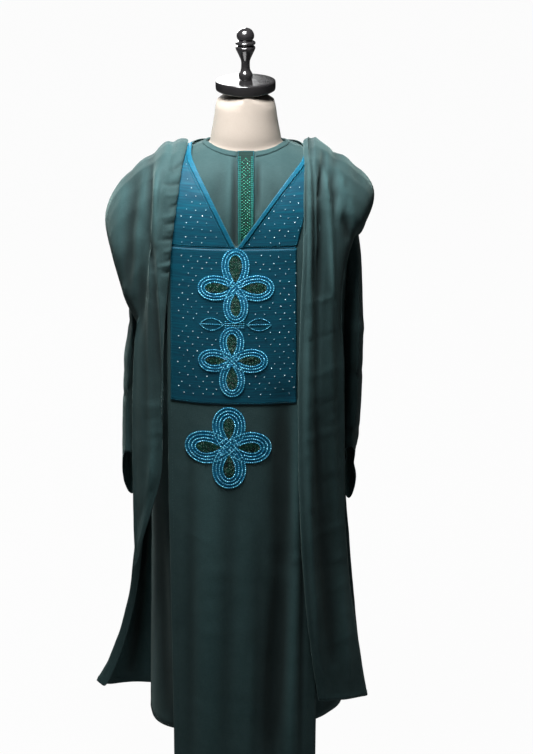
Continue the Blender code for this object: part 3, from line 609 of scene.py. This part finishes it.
PLACKET_EDGE = (0.005, 0.090, 0.078)
PLACKET_NET = (0.001, 0.012, 0.010)
PLACKET_NET_WORN = (0.003, 0.030, 0.025)
PLACKET_LIFT = 0.0030
placket = laid_on(cloth_sheet("tunic_placket", BRAID_SOLID, fineness=0.0030), on_tunic, PLACKET_LIFT)
net = woven("placket_net", PLACKET_NET, PLACKET_NET_WORN, 800, 0.9, 0.0012, 0.0)
placket_strip = cloth_piece(
    "placket_strip", placket, "tunic_placket",
    finish=net, slot="braid", wall=0.0016,
)
on_placket = surface_of(placket_strip, tunic_front)


def outside(tree, x, z, lift):
    """Place lift above the cloth's front at x and z, and the cloth's direction there."""
    place, normal = tree.ray_cast(Vector((x, -1, z)), Vector((0, 1, 0)))[:2]
    if normal.y > 0:
        normal.negate()
    return place + normal * lift, normal


def sewn_on(name, rows, radius, length, finish, slot):
    """One mesh of small beads or stitches, from rows of places, directions out and directions along."""
    single = bmesh.new()
    bmesh.ops.create_icosphere(single, subdivisions=1, radius=1)
    shape = np.array([vert.co for vert in single.verts]) * (length, radius, radius * 0.8)
    sides = np.array([[vert.index for vert in face.verts] for face in single.faces])
    single.free()
    corners, faces = [], []
    for number, (place, out, along) in enumerate(rows):
        across = out.cross(along).normalized()
        turn = np.array((across.cross(out).normalized(), across, out))
        corners.append(shape @ turn + place)
        faces.append(sides + number * len(shape))
    mesh = bpy.data.meshes.new(name + "_rows")
    mesh.from_pydata(np.concatenate(corners).tolist(), [], np.concatenate(faces).tolist())
    bm = bmesh.new()
    bm.from_mesh(mesh)
    bpy.data.meshes.remove(mesh)
    return shown(name, bm, finish, slot)


def along_curve(tree, points, step, lift):
    """Bead rows at even steps along a line of x and z points, on the cloth."""
    rows = []
    left = 0.0
    for (x0, z0), (x1, z1) in zip(points, points[1:]):
        reach = ((x1 - x0) ** 2 + (z1 - z0) ** 2) ** 0.5
        while left < reach:
            share = left / reach
            place, out = outside(tree, x0 + (x1 - x0) * share, z0 + (z1 - z0) * share, lift)
            rows.append((place, out, Vector((x1 - x0, 0, z1 - z0))))
            left += step
        left -= reach
    return rows


def beaded(name, low, high, rough, coat, glint=0.0):
    """Cut glass bead or sequin: the tone changes from one bead to the next, and glint makes it glow
    faintly in that colour, a painted glint.
    """
    made, nodes, links, shader, place = new_finish(name)
    shader.inputs["Roughness"].default_value = rough
    shader.inputs["Metallic"].default_value = 0.35
    shader.inputs["Coat Weight"].default_value = coat
    shader.inputs["Coat Roughness"].default_value = 0.08
    cell = nodes.new("ShaderNodeTexVoronoi")
    cell.inputs["Scale"].default_value = 300
    single = nodes.new("ShaderNodeSeparateColor")
    links.new(place, cell.inputs["Vector"])
    links.new(cell.outputs["Color"], single.inputs["Color"])
    shade = tinted(nodes, links, single.outputs["Red"], low, high)
    links.new(shade, shader.inputs["Base Color"])
    # Painted glint: the bead glows faintly in its own colour.
    if glint:
        links.new(shade, shader.inputs["Emission Color"])
        shader.inputs["Emission Strength"].default_value = glint
    return made


green_sequin = beaded("green_sequin", (0.003, 0.070, 0.052), (0.05, 0.42, 0.28), 0.16, 0.5, 0.03)
green_cord = woven("green_cord", PLACKET_EDGE, (0.010, 0.150, 0.125), 1600, 0.8, 0.0008, 0.1)
PLACKET_X = 0.0008
PLACKET_TOP_Z = 1.462
PLACKET_FOOT_Z = 1.262
SEQUIN_STEP = 0.0056
SEQUIN_ACROSS = 0.0036
SEQUIN_LEAN = 0.8
SEQUIN_LIFT = 0.0008
CORD_PLACES = (-0.0128, -0.0100, 0.0118, 0.0146)
CORD_STEP = 0.0034
CORD_LIFT = 0.0002
sequins = []
for row in range(int((PLACKET_TOP_Z - PLACKET_FOOT_Z) / SEQUIN_STEP)):
    for column in range(-2, 3):
        z = PLACKET_TOP_Z - (row + abs(column) * 0.5) * SEQUIN_STEP
        place, out = outside(on_placket, PLACKET_X + column * SEQUIN_ACROSS, z, SEQUIN_LIFT)
        sequins.append((place, out, Vector((1, 0, SEQUIN_LEAN * (1 if column < 0 else -1)))))
sewn_on("placket_sequins", sequins, 0.0012, 0.0021, green_sequin, "braid")
cords = []
for x in CORD_PLACES:
    ends = [(x, PLACKET_TOP_Z + 0.002), (x, PLACKET_FOOT_Z)]
    cords += along_curve(on_placket, ends, CORD_STEP, CORD_LIFT)
sewn_on("placket_cords", cords, 0.0014, 0.0024, green_cord, "braid")

# Centre front of the robe: one long panel, cut with a deep V neck. Its side edges are turned back
# and hang free, and under the panel's weight the lower part falls in a few soft folds.
ROBE_FRONT_CREASES = (
    (0.072, 0.985, 0.070, 0.640, 0.0240, -0.0080),
    (0.070, 0.640, 0.048, 0.170, 0.0250, -0.0080),
    (0.102, 0.970, 0.100, 0.640, 0.0100, 0.0060),
    (0.100, 0.640, 0.090, 0.170, 0.0120, 0.0060),
    (0.119, 0.960, 0.112, 0.170, 0.0060, -0.0060),
    (-0.070, 0.900, -0.084, 0.170, 0.0300, 0.0044),
    (-0.110, 0.860, -0.120, 0.170, 0.0120, -0.0036),
    (-0.030, 0.800, -0.048, 0.170, 0.0160, -0.0026),
    (-0.004, 0.740, -0.016, 0.170, 0.0200, 0.0028),
    (0.028, 0.700, 0.018, 0.170, 0.0120, -0.0020),
    (0.012, 0.440, 0.002, 0.170, 0.0080, 0.0018),
    (-0.130, 0.700, -0.060, 0.676, 0.0070, 0.0006),
    (-0.100, 0.600, 0.020, 0.584, 0.0100, -0.0004),
    (-0.110, 0.480, 0.030, 0.492, 0.0090, 0.0004),
    (-0.120, 0.330, 0.050, 0.318, 0.0100, -0.0004),
)
front = cloth_sheet("robe_front", CLOTH_SOLID, fineness=0.0042, long=1.5)
front = creased(front, ROBE_FRONT_CREASES, -1, slack=0.0005)
robe_front = cloth_piece(
    "robe_front_cloth", front, "robe_front"
)

# Centre back of the robe: a plain wide panel under the shoulder folds, with a shallow back neck
# and long soft flutes from the shoulder blades to the hem.
ROBE_BACK_CREASES = (
    (-0.088, 1.180, -0.106, 0.250, 0.0120, 0.0050),
    (-0.058, 1.050, -0.070, 0.250, 0.0110, -0.0050),
    (-0.028, 1.220, -0.038, 0.250, 0.0120, 0.0050),
    (0.006, 1.120, 0.002, 0.250, 0.0130, -0.0050),
    (0.040, 1.200, 0.046, 0.250, 0.0120, 0.0060),
    (0.072, 1.080, 0.082, 0.250, 0.0110, -0.0050),
    (0.106, 1.240, 0.120, 0.250, 0.0110, 0.0046),
    (0.138, 1.020, 0.150, 0.250, 0.0110, -0.0040),
    (-0.130, 1.000, -0.140, 0.250, 0.0110, -0.0044),
    (-0.100, 0.900, 0.080, 0.888, 0.0070, 0.0010),
    (-0.080, 0.640, 0.110, 0.652, 0.0080, -0.0010),
    (-0.070, 1.340, 0.060, 1.320, 0.0160, 0.0014),
)
back = cloth_sheet("robe_back", CLOTH_SOLID, fineness=0.0050, long=2.0)
back = creased(back, ROBE_BACK_CREASES, 1)
robe_back = cloth_piece("robe_back_cloth", back, "robe_back")

# Folded sides of the robe: the very wide sides are gathered up in lengthwise pleats, thrown over the
# shoulders, and stand out over the sleeves in a puff. Gathers pucker the edge on the left breast.
LEFT_FALL_CREASES = (
    (-0.186, 1.452, -0.190, 1.321, 0.0060, -0.0064),
    (-0.190, 1.321, -0.183, 1.251, 0.0060, -0.0064),
    (-0.183, 1.251, -0.168, 1.006, 0.0060, -0.0058),
    (-0.168, 1.006, -0.163, 0.930, 0.0055, -0.0048),
    (-0.173, 1.440, -0.176, 1.300, 0.0060, 0.0048),
    (-0.205, 1.240, -0.196, 0.900, 0.0100, -0.0045),
    (-0.196, 1.180, -0.188, 0.800, 0.0070, 0.0042),
    (-0.207, 1.440, -0.232, 1.300, 0.0150, -0.0064),
    (-0.200, 1.430, -0.215, 1.280, 0.0110, 0.0048),
    (-0.222, 1.340, -0.214, 1.120, 0.0220, -0.0040),
    (-0.190, 1.200, -0.184, 0.960, 0.0140, -0.0036),
    (-0.236, 1.400, -0.252, 1.270, 0.0130, 0.0048),
    (-0.226, 1.300, -0.238, 1.200, 0.0110, -0.0054),
    (-0.210, 1.330, -0.222, 1.190, 0.0090, 0.0042),
    (-0.206, 0.962, -0.166, 0.972, 0.0063, 0.0012),
    (-0.207, 0.936, -0.168, 0.944, 0.0050, -0.0009),
    (-0.208, 0.905, -0.168, 0.914, 0.0063, 0.0010),
    (-0.209, 0.868, -0.170, 0.874, 0.0050, -0.0009),
    (-0.210, 0.827, -0.176, 0.824, 0.0063, 0.0010),
    (-0.184, 0.888, -0.198, 0.758, 0.0070, 0.0042),
    (-0.198, 0.758, -0.222, 0.640, 0.0070, 0.0038),
)
# Short gathers in a row down the edge on the left breast, each with its own length, slant and depth.
PUCKER_STEP = 0.0172
PUCKER_COUNT = 13
PUCKERS_LEFT = tuple(
    (
        -0.118 - 0.0011 * number,
        1.452 - PUCKER_STEP * number,
        -0.150 - 0.0012 * number + 0.008 * sin(2.1 * number),
        1.446 - PUCKER_STEP * number - 0.006 * cos(1.3 * number),
        0.0036 + 0.0006 * sin(1.7 * number),
        0.0020 if number % 2 else -0.0024,
    )
    for number in range(PUCKER_COUNT)
)
LEFT_BACK_CREASES = (
    (-0.150, 1.380, -0.160, 0.900, 0.0080, -0.0058),
    (-0.176, 1.340, -0.184, 0.760, 0.0100, 0.0054),
    (-0.200, 1.300, -0.204, 0.820, 0.0090, -0.0058),
    (-0.172, 0.860, -0.196, 0.230, 0.0110, -0.0080),
    (-0.196, 0.760, -0.228, 0.210, 0.0110, 0.0090),
    (-0.214, 0.620, -0.262, 0.220, 0.0110, -0.0086),
    (-0.228, 0.480, -0.292, 0.210, 0.0100, 0.0070),
    (-0.150, 0.640, -0.226, 0.628, 0.0075, 0.0008),
    (-0.154, 0.980, -0.210, 0.992, 0.0075, -0.0008),
)
RIGHT_FALL_CREASES = (
    (0.117, 1.450, 0.118, 1.330, 0.0026, -0.0048),
    (0.124, 1.460, 0.128, 1.120, 0.0050, 0.0032),
    (0.134, 1.440, 0.136, 1.120, 0.0036, -0.0026),
    (0.154, 1.470, 0.145, 1.396, 0.0046, -0.0080),
    (0.145, 1.396, 0.147, 1.200, 0.0060, -0.0064),
    (0.150, 1.450, 0.162, 1.388, 0.0040, 0.0064),
    (0.162, 1.388, 0.174, 1.200, 0.0050, 0.0058),
    (0.170, 1.430, 0.176, 1.340, 0.0046, -0.0074),
    (0.180, 1.445, 0.190, 1.394, 0.0050, 0.0058),
    (0.188, 1.394, 0.178, 1.340, 0.0050, 0.0051),
    (0.198, 1.330, 0.192, 1.060, 0.0180, -0.0036),
    (0.150, 0.960, 0.176, 0.360, 0.0260, -0.0034),
    (0.133, 1.200, 0.132, 0.760, 0.0090, 0.0040),
    (0.200, 1.400, 0.214, 1.330, 0.0090, 0.0042),
    (0.196, 1.350, 0.206, 1.300, 0.0080, -0.0048),
    (0.142, 1.290, 0.140, 0.978, 0.0060, -0.0054),
    (0.140, 0.978, 0.154, 0.716, 0.0080, -0.0054),
    (0.154, 0.716, 0.182, 0.397, 0.0100, -0.0054),
    (0.166, 1.189, 0.172, 0.935, 0.0090, 0.0048),
    (0.172, 0.935, 0.192, 0.626, 0.0100, 0.0048),
    (0.192, 0.626, 0.216, 0.350, 0.0110, 0.0048),
    (0.123, 1.147, 0.121, 0.870, 0.0060, 0.0035),
    (0.121, 0.870, 0.148, 0.443, 0.0070, 0.0035),
    (0.117, 1.186, 0.186, 1.194, 0.0063, 0.0008),
    (0.119, 1.108, 0.176, 1.120, 0.0052, -0.0008),
    (0.120, 1.034, 0.194, 1.047, 0.0063, 0.0009),
    (0.118, 0.968, 0.180, 0.976, 0.0055, -0.0008),
    (0.117, 0.905, 0.190, 0.914, 0.0069, 0.0010),
    (0.125, 0.812, 0.196, 0.803, 0.0063, -0.0009),
    (0.124, 0.752, 0.190, 0.760, 0.0057, 0.0008),
    (0.130, 0.689, 0.204, 0.698, 0.0069, 0.0010),
    (0.136, 0.618, 0.210, 0.606, 0.0057, -0.0008),
    (0.141, 0.553, 0.214, 0.567, 0.0069, 0.0009),
    (0.150, 0.494, 0.220, 0.486, 0.0057, -0.0006),
    (0.157, 0.438, 0.228, 0.447, 0.0063, 0.0008),
)
RIGHT_BACK_CREASES = (
    (0.140, 1.390, 0.148, 0.880, 0.0080, -0.0054),
    (0.164, 1.350, 0.172, 0.760, 0.0090, 0.0054),
    (0.186, 1.300, 0.190, 0.700, 0.0080, -0.0054),
    (0.150, 0.900, 0.164, 0.260, 0.0100, 0.0070),
    (0.172, 0.800, 0.194, 0.260, 0.0100, -0.0074),
    (0.192, 0.700, 0.222, 0.270, 0.0090, 0.0070),
    (0.146, 0.700, 0.204, 0.690, 0.0075, 0.0008),
    (0.142, 1.060, 0.184, 1.070, 0.0075, -0.0008),
)
LEFT_TOP_CREASES = (
    (-0.180, 1.500, -0.190, 1.440, 0.0090, -0.0060),
    (-0.222, 1.450, -0.236, 1.400, 0.0090, -0.0040),
    (-0.150, 1.500, -0.152, 1.460, 0.0080, 0.0020),
)
RIGHT_TOP_CREASES = (
    (0.128, 1.500, 0.128, 1.462, 0.0070, -0.0040),
    (0.152, 1.500, 0.153, 1.462, 0.0080, 0.0024),
    (0.176, 1.490, 0.180, 1.430, 0.0080, -0.0060),
    (0.214, 1.450, 0.224, 1.400, 0.0090, -0.0034),
)
left = cloth_sheet("robe_wing_left", CLOTH_SOLID, fineness=0.0055)
left = creased(left, LEFT_FALL_CREASES + PUCKERS_LEFT, -1, hem=0)
left = creased(left, LEFT_BACK_CREASES, 1, slack=0)
left = creased(left, LEFT_TOP_CREASES, 0, slack=0, hem=0)
wing_left = cloth_piece("robe_side_left", left, "robe_wing_left")
right = cloth_sheet("robe_wing_right", CLOTH_SOLID, fineness=0.0045, long=2.0)
right = creased(right, RIGHT_FALL_CREASES, -1, hem=0)
right = creased(right, RIGHT_BACK_CREASES, 1, slack=0)
right = creased(right, RIGHT_TOP_CREASES, 0, slack=0, hem=0)
wing_right = cloth_piece("robe_side_right", right, "robe_wing_right")

# Binding of the V neck: a straight strip of bright teal satin down each edge, and under it the
# breast trimming in teal shot silk: two corner pieces beside the V and a hanging panel below it.
SILK = (0.001, 0.040, 0.070)
SILK_WORN = (0.001, 0.072, 0.112)
SATIN = (0.001, 0.066, 0.115)
SATIN_WEFT = (0.001, 0.100, 0.165)
on_front = surface_of(robe_front)


def shot_silk(name, warp, weft, slub, rough):
    """Crosswise slubs of a second colour, running unevenly along the weft threads."""
    made, nodes, links, shader, place = new_finish(name)
    shader.inputs["Sheen Weight"].default_value = 0.08
    shader.inputs["Sheen Tint"].default_value = (0.15, 0.75, 1.0, 1)
    shader.inputs["Specular IOR Level"].default_value = 0.22
    stretch = nodes.new("ShaderNodeMapping")
    stretch.inputs["Scale"].default_value = (0.05, 0.05, 1)
    grain = nodes.new("ShaderNodeTexNoise")
    grain.inputs["Scale"].default_value = slub
    grain.inputs["Detail"].default_value = 3
    tilt = nodes.new("ShaderNodeLayerWeight")
    tilt.inputs["Blend"].default_value = 0.3
    share = nodes.new("ShaderNodeMath")
    share.operation = "MAXIMUM"
    bump = nodes.new("ShaderNodeBump")
    bump.inputs["Strength"].default_value = 0.4
    bump.inputs["Distance"].default_value = 0.0006
    links.new(place, stretch.inputs["Vector"])
    links.new(stretch.outputs["Vector"], grain.inputs["Vector"])
    level = levelled(nodes, links, grain.outputs["Fac"], 0, 1, 0.40, 0.72)
    links.new(level, share.inputs[0])
    links.new(tilt.outputs["Facing"], share.inputs[1])
    shade = tinted(nodes, links, share.outputs[0], warp, weft)
    links.new(shade, shader.inputs["Base Color"])
    matt = levelled(nodes, links, level, rough + 0.1, rough - 0.08)
    links.new(matt, shader.inputs["Roughness"])
    links.new(grain.outputs["Fac"], bump.inputs["Height"])
    links.new(bump.outputs["Normal"], shader.inputs["Normal"])
    return made


silk = shot_silk("teal_shot_silk", SILK, SILK_WORN, 420, 0.52)
satin = shot_silk("teal_satin", SATIN, SATIN_WEFT, 700, 0.50)
SILK_LIFT = 0.0016
SATIN_LIFT = 0.0030
SILK_WALL = 0.0009
SATIN_WALL = 0.0011
# Node, wall of its solid, flat size, area of a cut that isn't a rectangle, lift, finish, slot and wall.
TRIMMING = (
    ("bib_upper_left", TRIM_SOLID, (0.10, 0.29), 0.0165, SILK_LIFT, silk, "teal", SILK_WALL),
    ("bib_upper_right", TRIM_SOLID, (0.10, 0.29), 0.0128, SILK_LIFT, silk, "teal", SILK_WALL),
    ("bib_panel", TRIM_SOLID, (0.255, 0.33), None, SILK_LIFT, silk, "teal", SILK_WALL),
    ("robe_binding_left", BRAID_SOLID, (0.012, 0.21), None, SATIN_LIFT, satin, "binding", SATIN_WALL),
    ("robe_binding_right", BRAID_SOLID, (0.012, 0.21), None, SATIN_LIFT, satin, "binding", SATIN_WALL),
)
trim = []
for node, solid_wall, flat, area, lift, finish, slot, wall in TRIMMING:
    strip = laid_on(cloth_sheet(node, solid_wall, fineness=0.0045), on_front, lift)
    trim.append(
        cloth_piece(
            f"{node}_cloth", strip, node, finish, slot, wall
        )
    )

# Breast embroidery of the robe: a looped knot of cord and glass beads, twice on the panel and once,
# larger, below its hem. A flat silk cord carries three or four bead rows and passes over itself in
# the middle. Green sequins fill the petals, and a pair of beaded leaves parts the knots.
THREE_ROWS = (-0.0060, 0.0, 0.0060)
FOUR_ROWS = (-0.0099, -0.0033, 0.0033, 0.0099)
# Name, middle x and z, petals to the right, top, left and bottom, bead rows, fullness of the petals.
KNOTS = (
    ("knot_top", -0.0196, 1.2180, (0.069, 0.074, 0.067, 0.064), THREE_ROWS, 1.0),
    ("knot_middle", -0.0272, 1.0692, (0.064, 0.063, 0.060, 0.068), THREE_ROWS, 1.0),
    ("knot_low", -0.0340, 0.8861, (0.0735, 0.0745, 0.0775, 0.0765), FOUR_ROWS, 0.78),
)
BEAD_STEP = 0.0044
BEAD_ROOM = 0.0028
BEAD_LIFT = 0.0015
DROP_ROOM = 0.0024
DROP_LIFT = 0.0006
DROP_ALONG = 0.0030
DROP_ACROSS = 0.0034
DROP_LEAN = 0.35
PETAL_ROOT = 0.16
CORD_EDGE = 0.0016
CORD_GROUND = 0.0004
CORD_CROWN = 0.0005
CROSSING = 0.0007
TURNS = 1440
on_breast = surface_of(robe_front, *trim)
glass = beaded("blue_glass", (0.006, 0.180, 0.340), (0.14, 0.64, 0.86), 0.14, 0.7, 0.10)
deep_sequin = beaded("dark_sequin", (0.001, 0.012, 0.008), (0.006, 0.090, 0.056), 0.28, 0.2)
cord_silk = shot_silk("cord_silk", (0.002, 0.075, 0.150), (0.006, 0.130, 0.230), 900, 0.40)


def rose(x, z, petals, fullness):
    """Line of a four-petal knot, passing straight through its middle, with the way to its left."""
    turns = np.linspace(0, 2 * pi, TURNS, endpoint=False)
    swing = np.cos(2 * turns)
    angle = turns + pi * (swing < 0)
    length = np.array(petals)[np.round(angle / (pi / 2)).astype(int) % 4] * np.abs(swing) ** fullness
    line = np.stack((x + length * np.cos(angle), z + length * np.sin(angle)), axis=1)
    ahead = np.roll(line, -2, axis=0) - np.roll(line, 2, axis=0)
    ahead /= np.linalg.norm(ahead, axis=1)[:, None]
    return line, ahead, np.stack((-ahead[:, 1], ahead[:, 0]), axis=1)


def knot_cord(name, x, z, line, ahead, side, half):
    """Flat cord under the bead rows; where it crosses itself the rising pass lies on top."""
    bm = bmesh.new()
    columns = (-half, -half * 0.55, 0, half * 0.55, half)
    strips = []
    for number in range(0, len(line), 6):
        near = max(1 - np.linalg.norm(line[number] - (x, z)) / (half * 3), 0)
        over = CROSSING * min(near * 2, 1) if ahead[number, 0] * ahead[number, 1] > 0 else 0
        strip = []
        for shift in columns:
            spot = line[number] + side[number] * shift
            crown = CORD_CROWN * (1 - (shift / half) ** 2)
            strip.append(bm.verts.new(outside(on_breast, *spot, CORD_GROUND + over + crown)[0]))
        strips.append(strip)
    for here, there in zip(strips, strips[1:] + strips[:1]):
        for column in range(len(columns) - 1):
            bm.faces.new((here[column], here[column + 1], there[column + 1], there[column]))
    bmesh.ops.recalc_face_normals(bm, faces=bm.faces)
    return shown(name, bm, cord_silk, "binding")


taken = []


def free_spot(place, room):
    """Whether no bead lies within room of the place; if none does, the place is taken."""
    for other in taken:
        if abs(other.x - place.x) < room and abs(other.z - place.z) < room:
            if (other - place).length < room:
                return False
    taken.append(place)
    return True


for name, x, z, petals, rows, fullness in KNOTS:
    line, ahead, side = rose(x, z, petals, fullness)
    half = rows[-1] + CORD_EDGE
    knot_cord(name + "_cord", x, z, line, ahead, side, half)
    beads = []
    for shift in rows:
        row = line + side * shift
        reach = np.linalg.norm(np.roll(row, -1, axis=0) - row, axis=1)
        walked = np.cumsum(reach)
        count = int(walked[-1] / BEAD_STEP)
        for number in np.searchsorted(walked, np.arange(count) * walked[-1] / count):
            place, out = outside(on_breast, *row[number], BEAD_LIFT)
            if free_spot(place, BEAD_ROOM):
                beads.append((place, out, Vector((ahead[number, 0], 0, ahead[number, 1]))))
    sewn_on(name + "_beads", beads, 0.0015, 0.0020, glass, "binding")
    drops = []
    for petal, length in enumerate(petals):
        axis = np.array((cos(petal * pi / 2), sin(petal * pi / 2)))
        for a in range(30):
            for b in range(-8, 9):
                u = length * PETAL_ROOT + a * DROP_ALONG
                v = (b + 0.5 * (a % 2)) * DROP_ACROSS
                if abs(v) >= u:
                    continue
                spot = np.array((x, z)) + axis * u + np.array((-axis[1], axis[0])) * v
                edge = np.linalg.norm(line - spot, axis=1).min()
                limit = length * np.cos(2 * np.arctan2(v, u)) ** fullness
                if edge > half + DROP_LIFT and u * u + v * v < limit * limit:
                    place, out = outside(on_breast, *spot, DROP_LIFT)
                    if free_spot(place, DROP_ROOM):
                        lean = Vector((sin(31 * a + 7 * b), 0, cos(17 * a + 5 * b))) * DROP_LEAN
                        drops.append((place, (out + lean).normalized(), Vector((1, 0, 0.3))))
    sewn_on(name + "_sequins", drops, 0.0018, 0.0018, deep_sequin, "braid")

LEAF_Z = 1.1440
LEAF_HALF = 0.0125
LEAF_STEP = 0.0036
LEAF_LIFT = 0.0010
LEAF_PARTS = 12
STEM_ROWS = (-0.0062, -0.0020, 0.0022, 0.0064)
leaves = []
for root, tip in ((-0.0440, -0.0905), (0.0030, 0.0505)):
    for bend in (-LEAF_HALF, 0.0, LEAF_HALF):
        arc = []
        for part in range(LEAF_PARTS + 1):
            share = part / LEAF_PARTS
            arc.append((root + (tip - root) * share, LEAF_Z + bend * sin(pi * share) ** 0.8))
        leaves += along_curve(on_breast, arc, LEAF_STEP, LEAF_LIFT)
for row in STEM_ROWS:
    stem = [(-0.0400, LEAF_Z + row), (-0.0010, LEAF_Z + row)]
    leaves += along_curve(on_breast, stem, LEAF_STEP, LEAF_LIFT)
leaves = [row for row in leaves if free_spot(row[0], BEAD_ROOM)]
sewn_on("leaf_beads", leaves, 0.0010, 0.0015, glass, "binding")

# Satin cord over the seam between the breast panel and the corner pieces, and cut crystals that are
# glued all over the silk, in slanting rows that aren't quite even.
SEAM_Z = 1.2984
SEAM_LIFT = 0.0004
seam = along_curve(on_breast, [(-0.138, SEAM_Z), (-0.026, SEAM_Z)], CORD_STEP, SEAM_LIFT)
seam += along_curve(on_breast, [(-0.010, SEAM_Z), (0.098, SEAM_Z)], CORD_STEP, SEAM_LIFT)
sewn_on("seam_cord", seam, 0.0021, 0.0030, satin, "teal")

crystal = beaded("cut_crystal", (0.16, 0.42, 0.52), (0.70, 0.86, 0.92), 0.10, 0.8, 0.08)
CRYSTAL_STEP = 0.0190
CRYSTAL_ROWS = 0.68
CRYSTAL_SWAY = 0.0050
CRYSTAL_TOP_Z = 1.450
CRYSTAL_FOOT_Z = 0.992
CRYSTAL_LIFT = 0.0005
CRYSTAL_ROOM = 0.0090
EDGE_ROOM = 0.0050
SEAM_BAND = (1.288, 1.306)
on_silk = surface_of(*trim[:3])
over_silk = surface_of(wing_left, wing_right, *trim[3:])
stones = []
for row in range(36):
    for column in range(-8, 9):
        sway = noise.noise(Vector((row * 1.7, column * 2.3, 0.5))) * CRYSTAL_SWAY
        x = (column + 0.5 * (row % 2)) * CRYSTAL_STEP + sway
        z = CRYSTAL_TOP_Z - row * CRYSTAL_STEP * CRYSTAL_ROWS + sway
        if SEAM_BAND[0] < z < SEAM_BAND[1] or z < CRYSTAL_FOOT_Z:
            continue
        place, out = on_silk.ray_cast(Vector((x, -1, z)), Vector((0, 1, 0)))[:2]
        if not place or over_silk.find_nearest(place)[3] < EDGE_ROOM:
            continue
        if over_silk.ray_cast(Vector((x, -1, z)), Vector((0, 1, 0)))[0]:
            continue
        place, out = outside(on_silk, x, z, CRYSTAL_LIFT)
        if free_spot(place, CRYSTAL_ROOM):
            stones.append((place, out, Vector((1, 0, 0.4))))
sewn_on("crystals", stones, 0.0012, 0.0012, crystal, "binding")

# Machine and hand stitching: top-stitching along the free edges of the garments and the trimming,
# and rows of pick stitches that hold the folds on the right shoulder and the gathers on the left.
STITCH_LIFT = 0.00015
STITCH_REACH = 0.003
THREAD = 0.00026
PICK_THREAD = 0.00034
TUNIC_HEM_Z = 0.30
CUFFS_Z = 1.0
thread = woven("teal_thread", (0.020, 0.060, 0.062), (0.050, 0.120, 0.120), 2400, 0.8, 0.0003, 0.1)
silk_thread = woven("silk_thread", (0.010, 0.150, 0.230), (0.020, 0.260, 0.360), 2400, 0.8, 0.0003, 0.1)


def edge_stitches(piece, inset, step, keep=None):
    """Stitch places in a row that runs along the free edges of a sheet, inset from them."""
    mesh = piece.data
    uses = {}
    for face in mesh.polygons:
        for key in face.edge_keys:
            uses.setdefault(key, []).append(face)
    corners = mesh.vertices
    on_piece = surface_of(piece)
    rows = []
    for (one, two), faces in uses.items():
        if len(faces) > 1:
            continue
        start, end = corners[one].co, corners[two].co
        along = end - start
        middle = (start + end) / 2
        inward = faces[0].normal.cross(along).normalized()
        if inward.dot(faces[0].center - middle) < 0:
            inward.negate()
        count = max(round(along.length / step), 1)
        for number in range(count):
            spot = start + along * (number + 0.5) / count + inward * inset
            place, out = on_piece.find_nearest(spot)[:2]
            if (place - spot).length < STITCH_REACH and (keep is None or keep(place)):
                rows.append((place + out * STITCH_LIFT, out, along))
    return rows


cloth_rows = []
for piece in (robe_front, robe_back):
    cloth_rows += edge_stitches(piece, inset=0.0100, step=0.0056)
for piece in (wing_left, wing_right):
    cloth_rows += edge_stitches(piece, inset=0.0080, step=0.0060)
for piece in (tunic_front, tunic_back):
    cloth_rows += edge_stitches(piece, inset=0.0120, step=0.0046, keep=lambda place: place.z < TUNIC_HEM_Z)
cloth_rows += edge_stitches(neck_facing, inset=0.0022, step=0.0036)
for piece in sleeves:
    cloth_rows += edge_stitches(piece, inset=0.0120, step=0.0040, keep=lambda place: place.z < CUFFS_Z)
sewn_on("cloth_stitches", cloth_rows, THREAD, 0.0014, thread, "robe")
trim_rows = []
for piece in trim[:3]:
    trim_rows += edge_stitches(piece, inset=0.0028, step=0.0034)
for piece in trim[3:]:
    trim_rows += edge_stitches(piece, inset=0.0014, step=0.0034)
trim_rows += edge_stitches(placket_strip, inset=0.0012, step=0.0034)
sewn_on("trim_stitches", trim_rows, THREAD, 0.0012, silk_thread, "teal")

on_wings = surface_of(wing_left, wing_right)
# Rows of pick stitches: x and z of the top, x and z of the foot, and the step between stitches.
PICK_ROWS = (
    (0.1250, 1.447, 0.1265, 1.285, 0.0105),
    (0.1265, 1.285, 0.1270, 1.123, 0.0105),
    (0.1610, 1.392, 0.1700, 1.320, 0.0080),
    (0.1700, 1.320, 0.1725, 1.240, 0.0090),
    (-0.1560, 1.440, -0.1600, 1.340, 0.0086),
    (-0.1600, 1.340, -0.1620, 1.262, 0.0086),
)
picks = []
for x0, z0, x1, z1, step in PICK_ROWS:
    picks += along_curve(on_wings, [(x0, z0), (x1, z1)], step, STITCH_LIFT)
sewn_on("pick_stitches", picks, PICK_THREAD, 0.0015, thread, "robe")
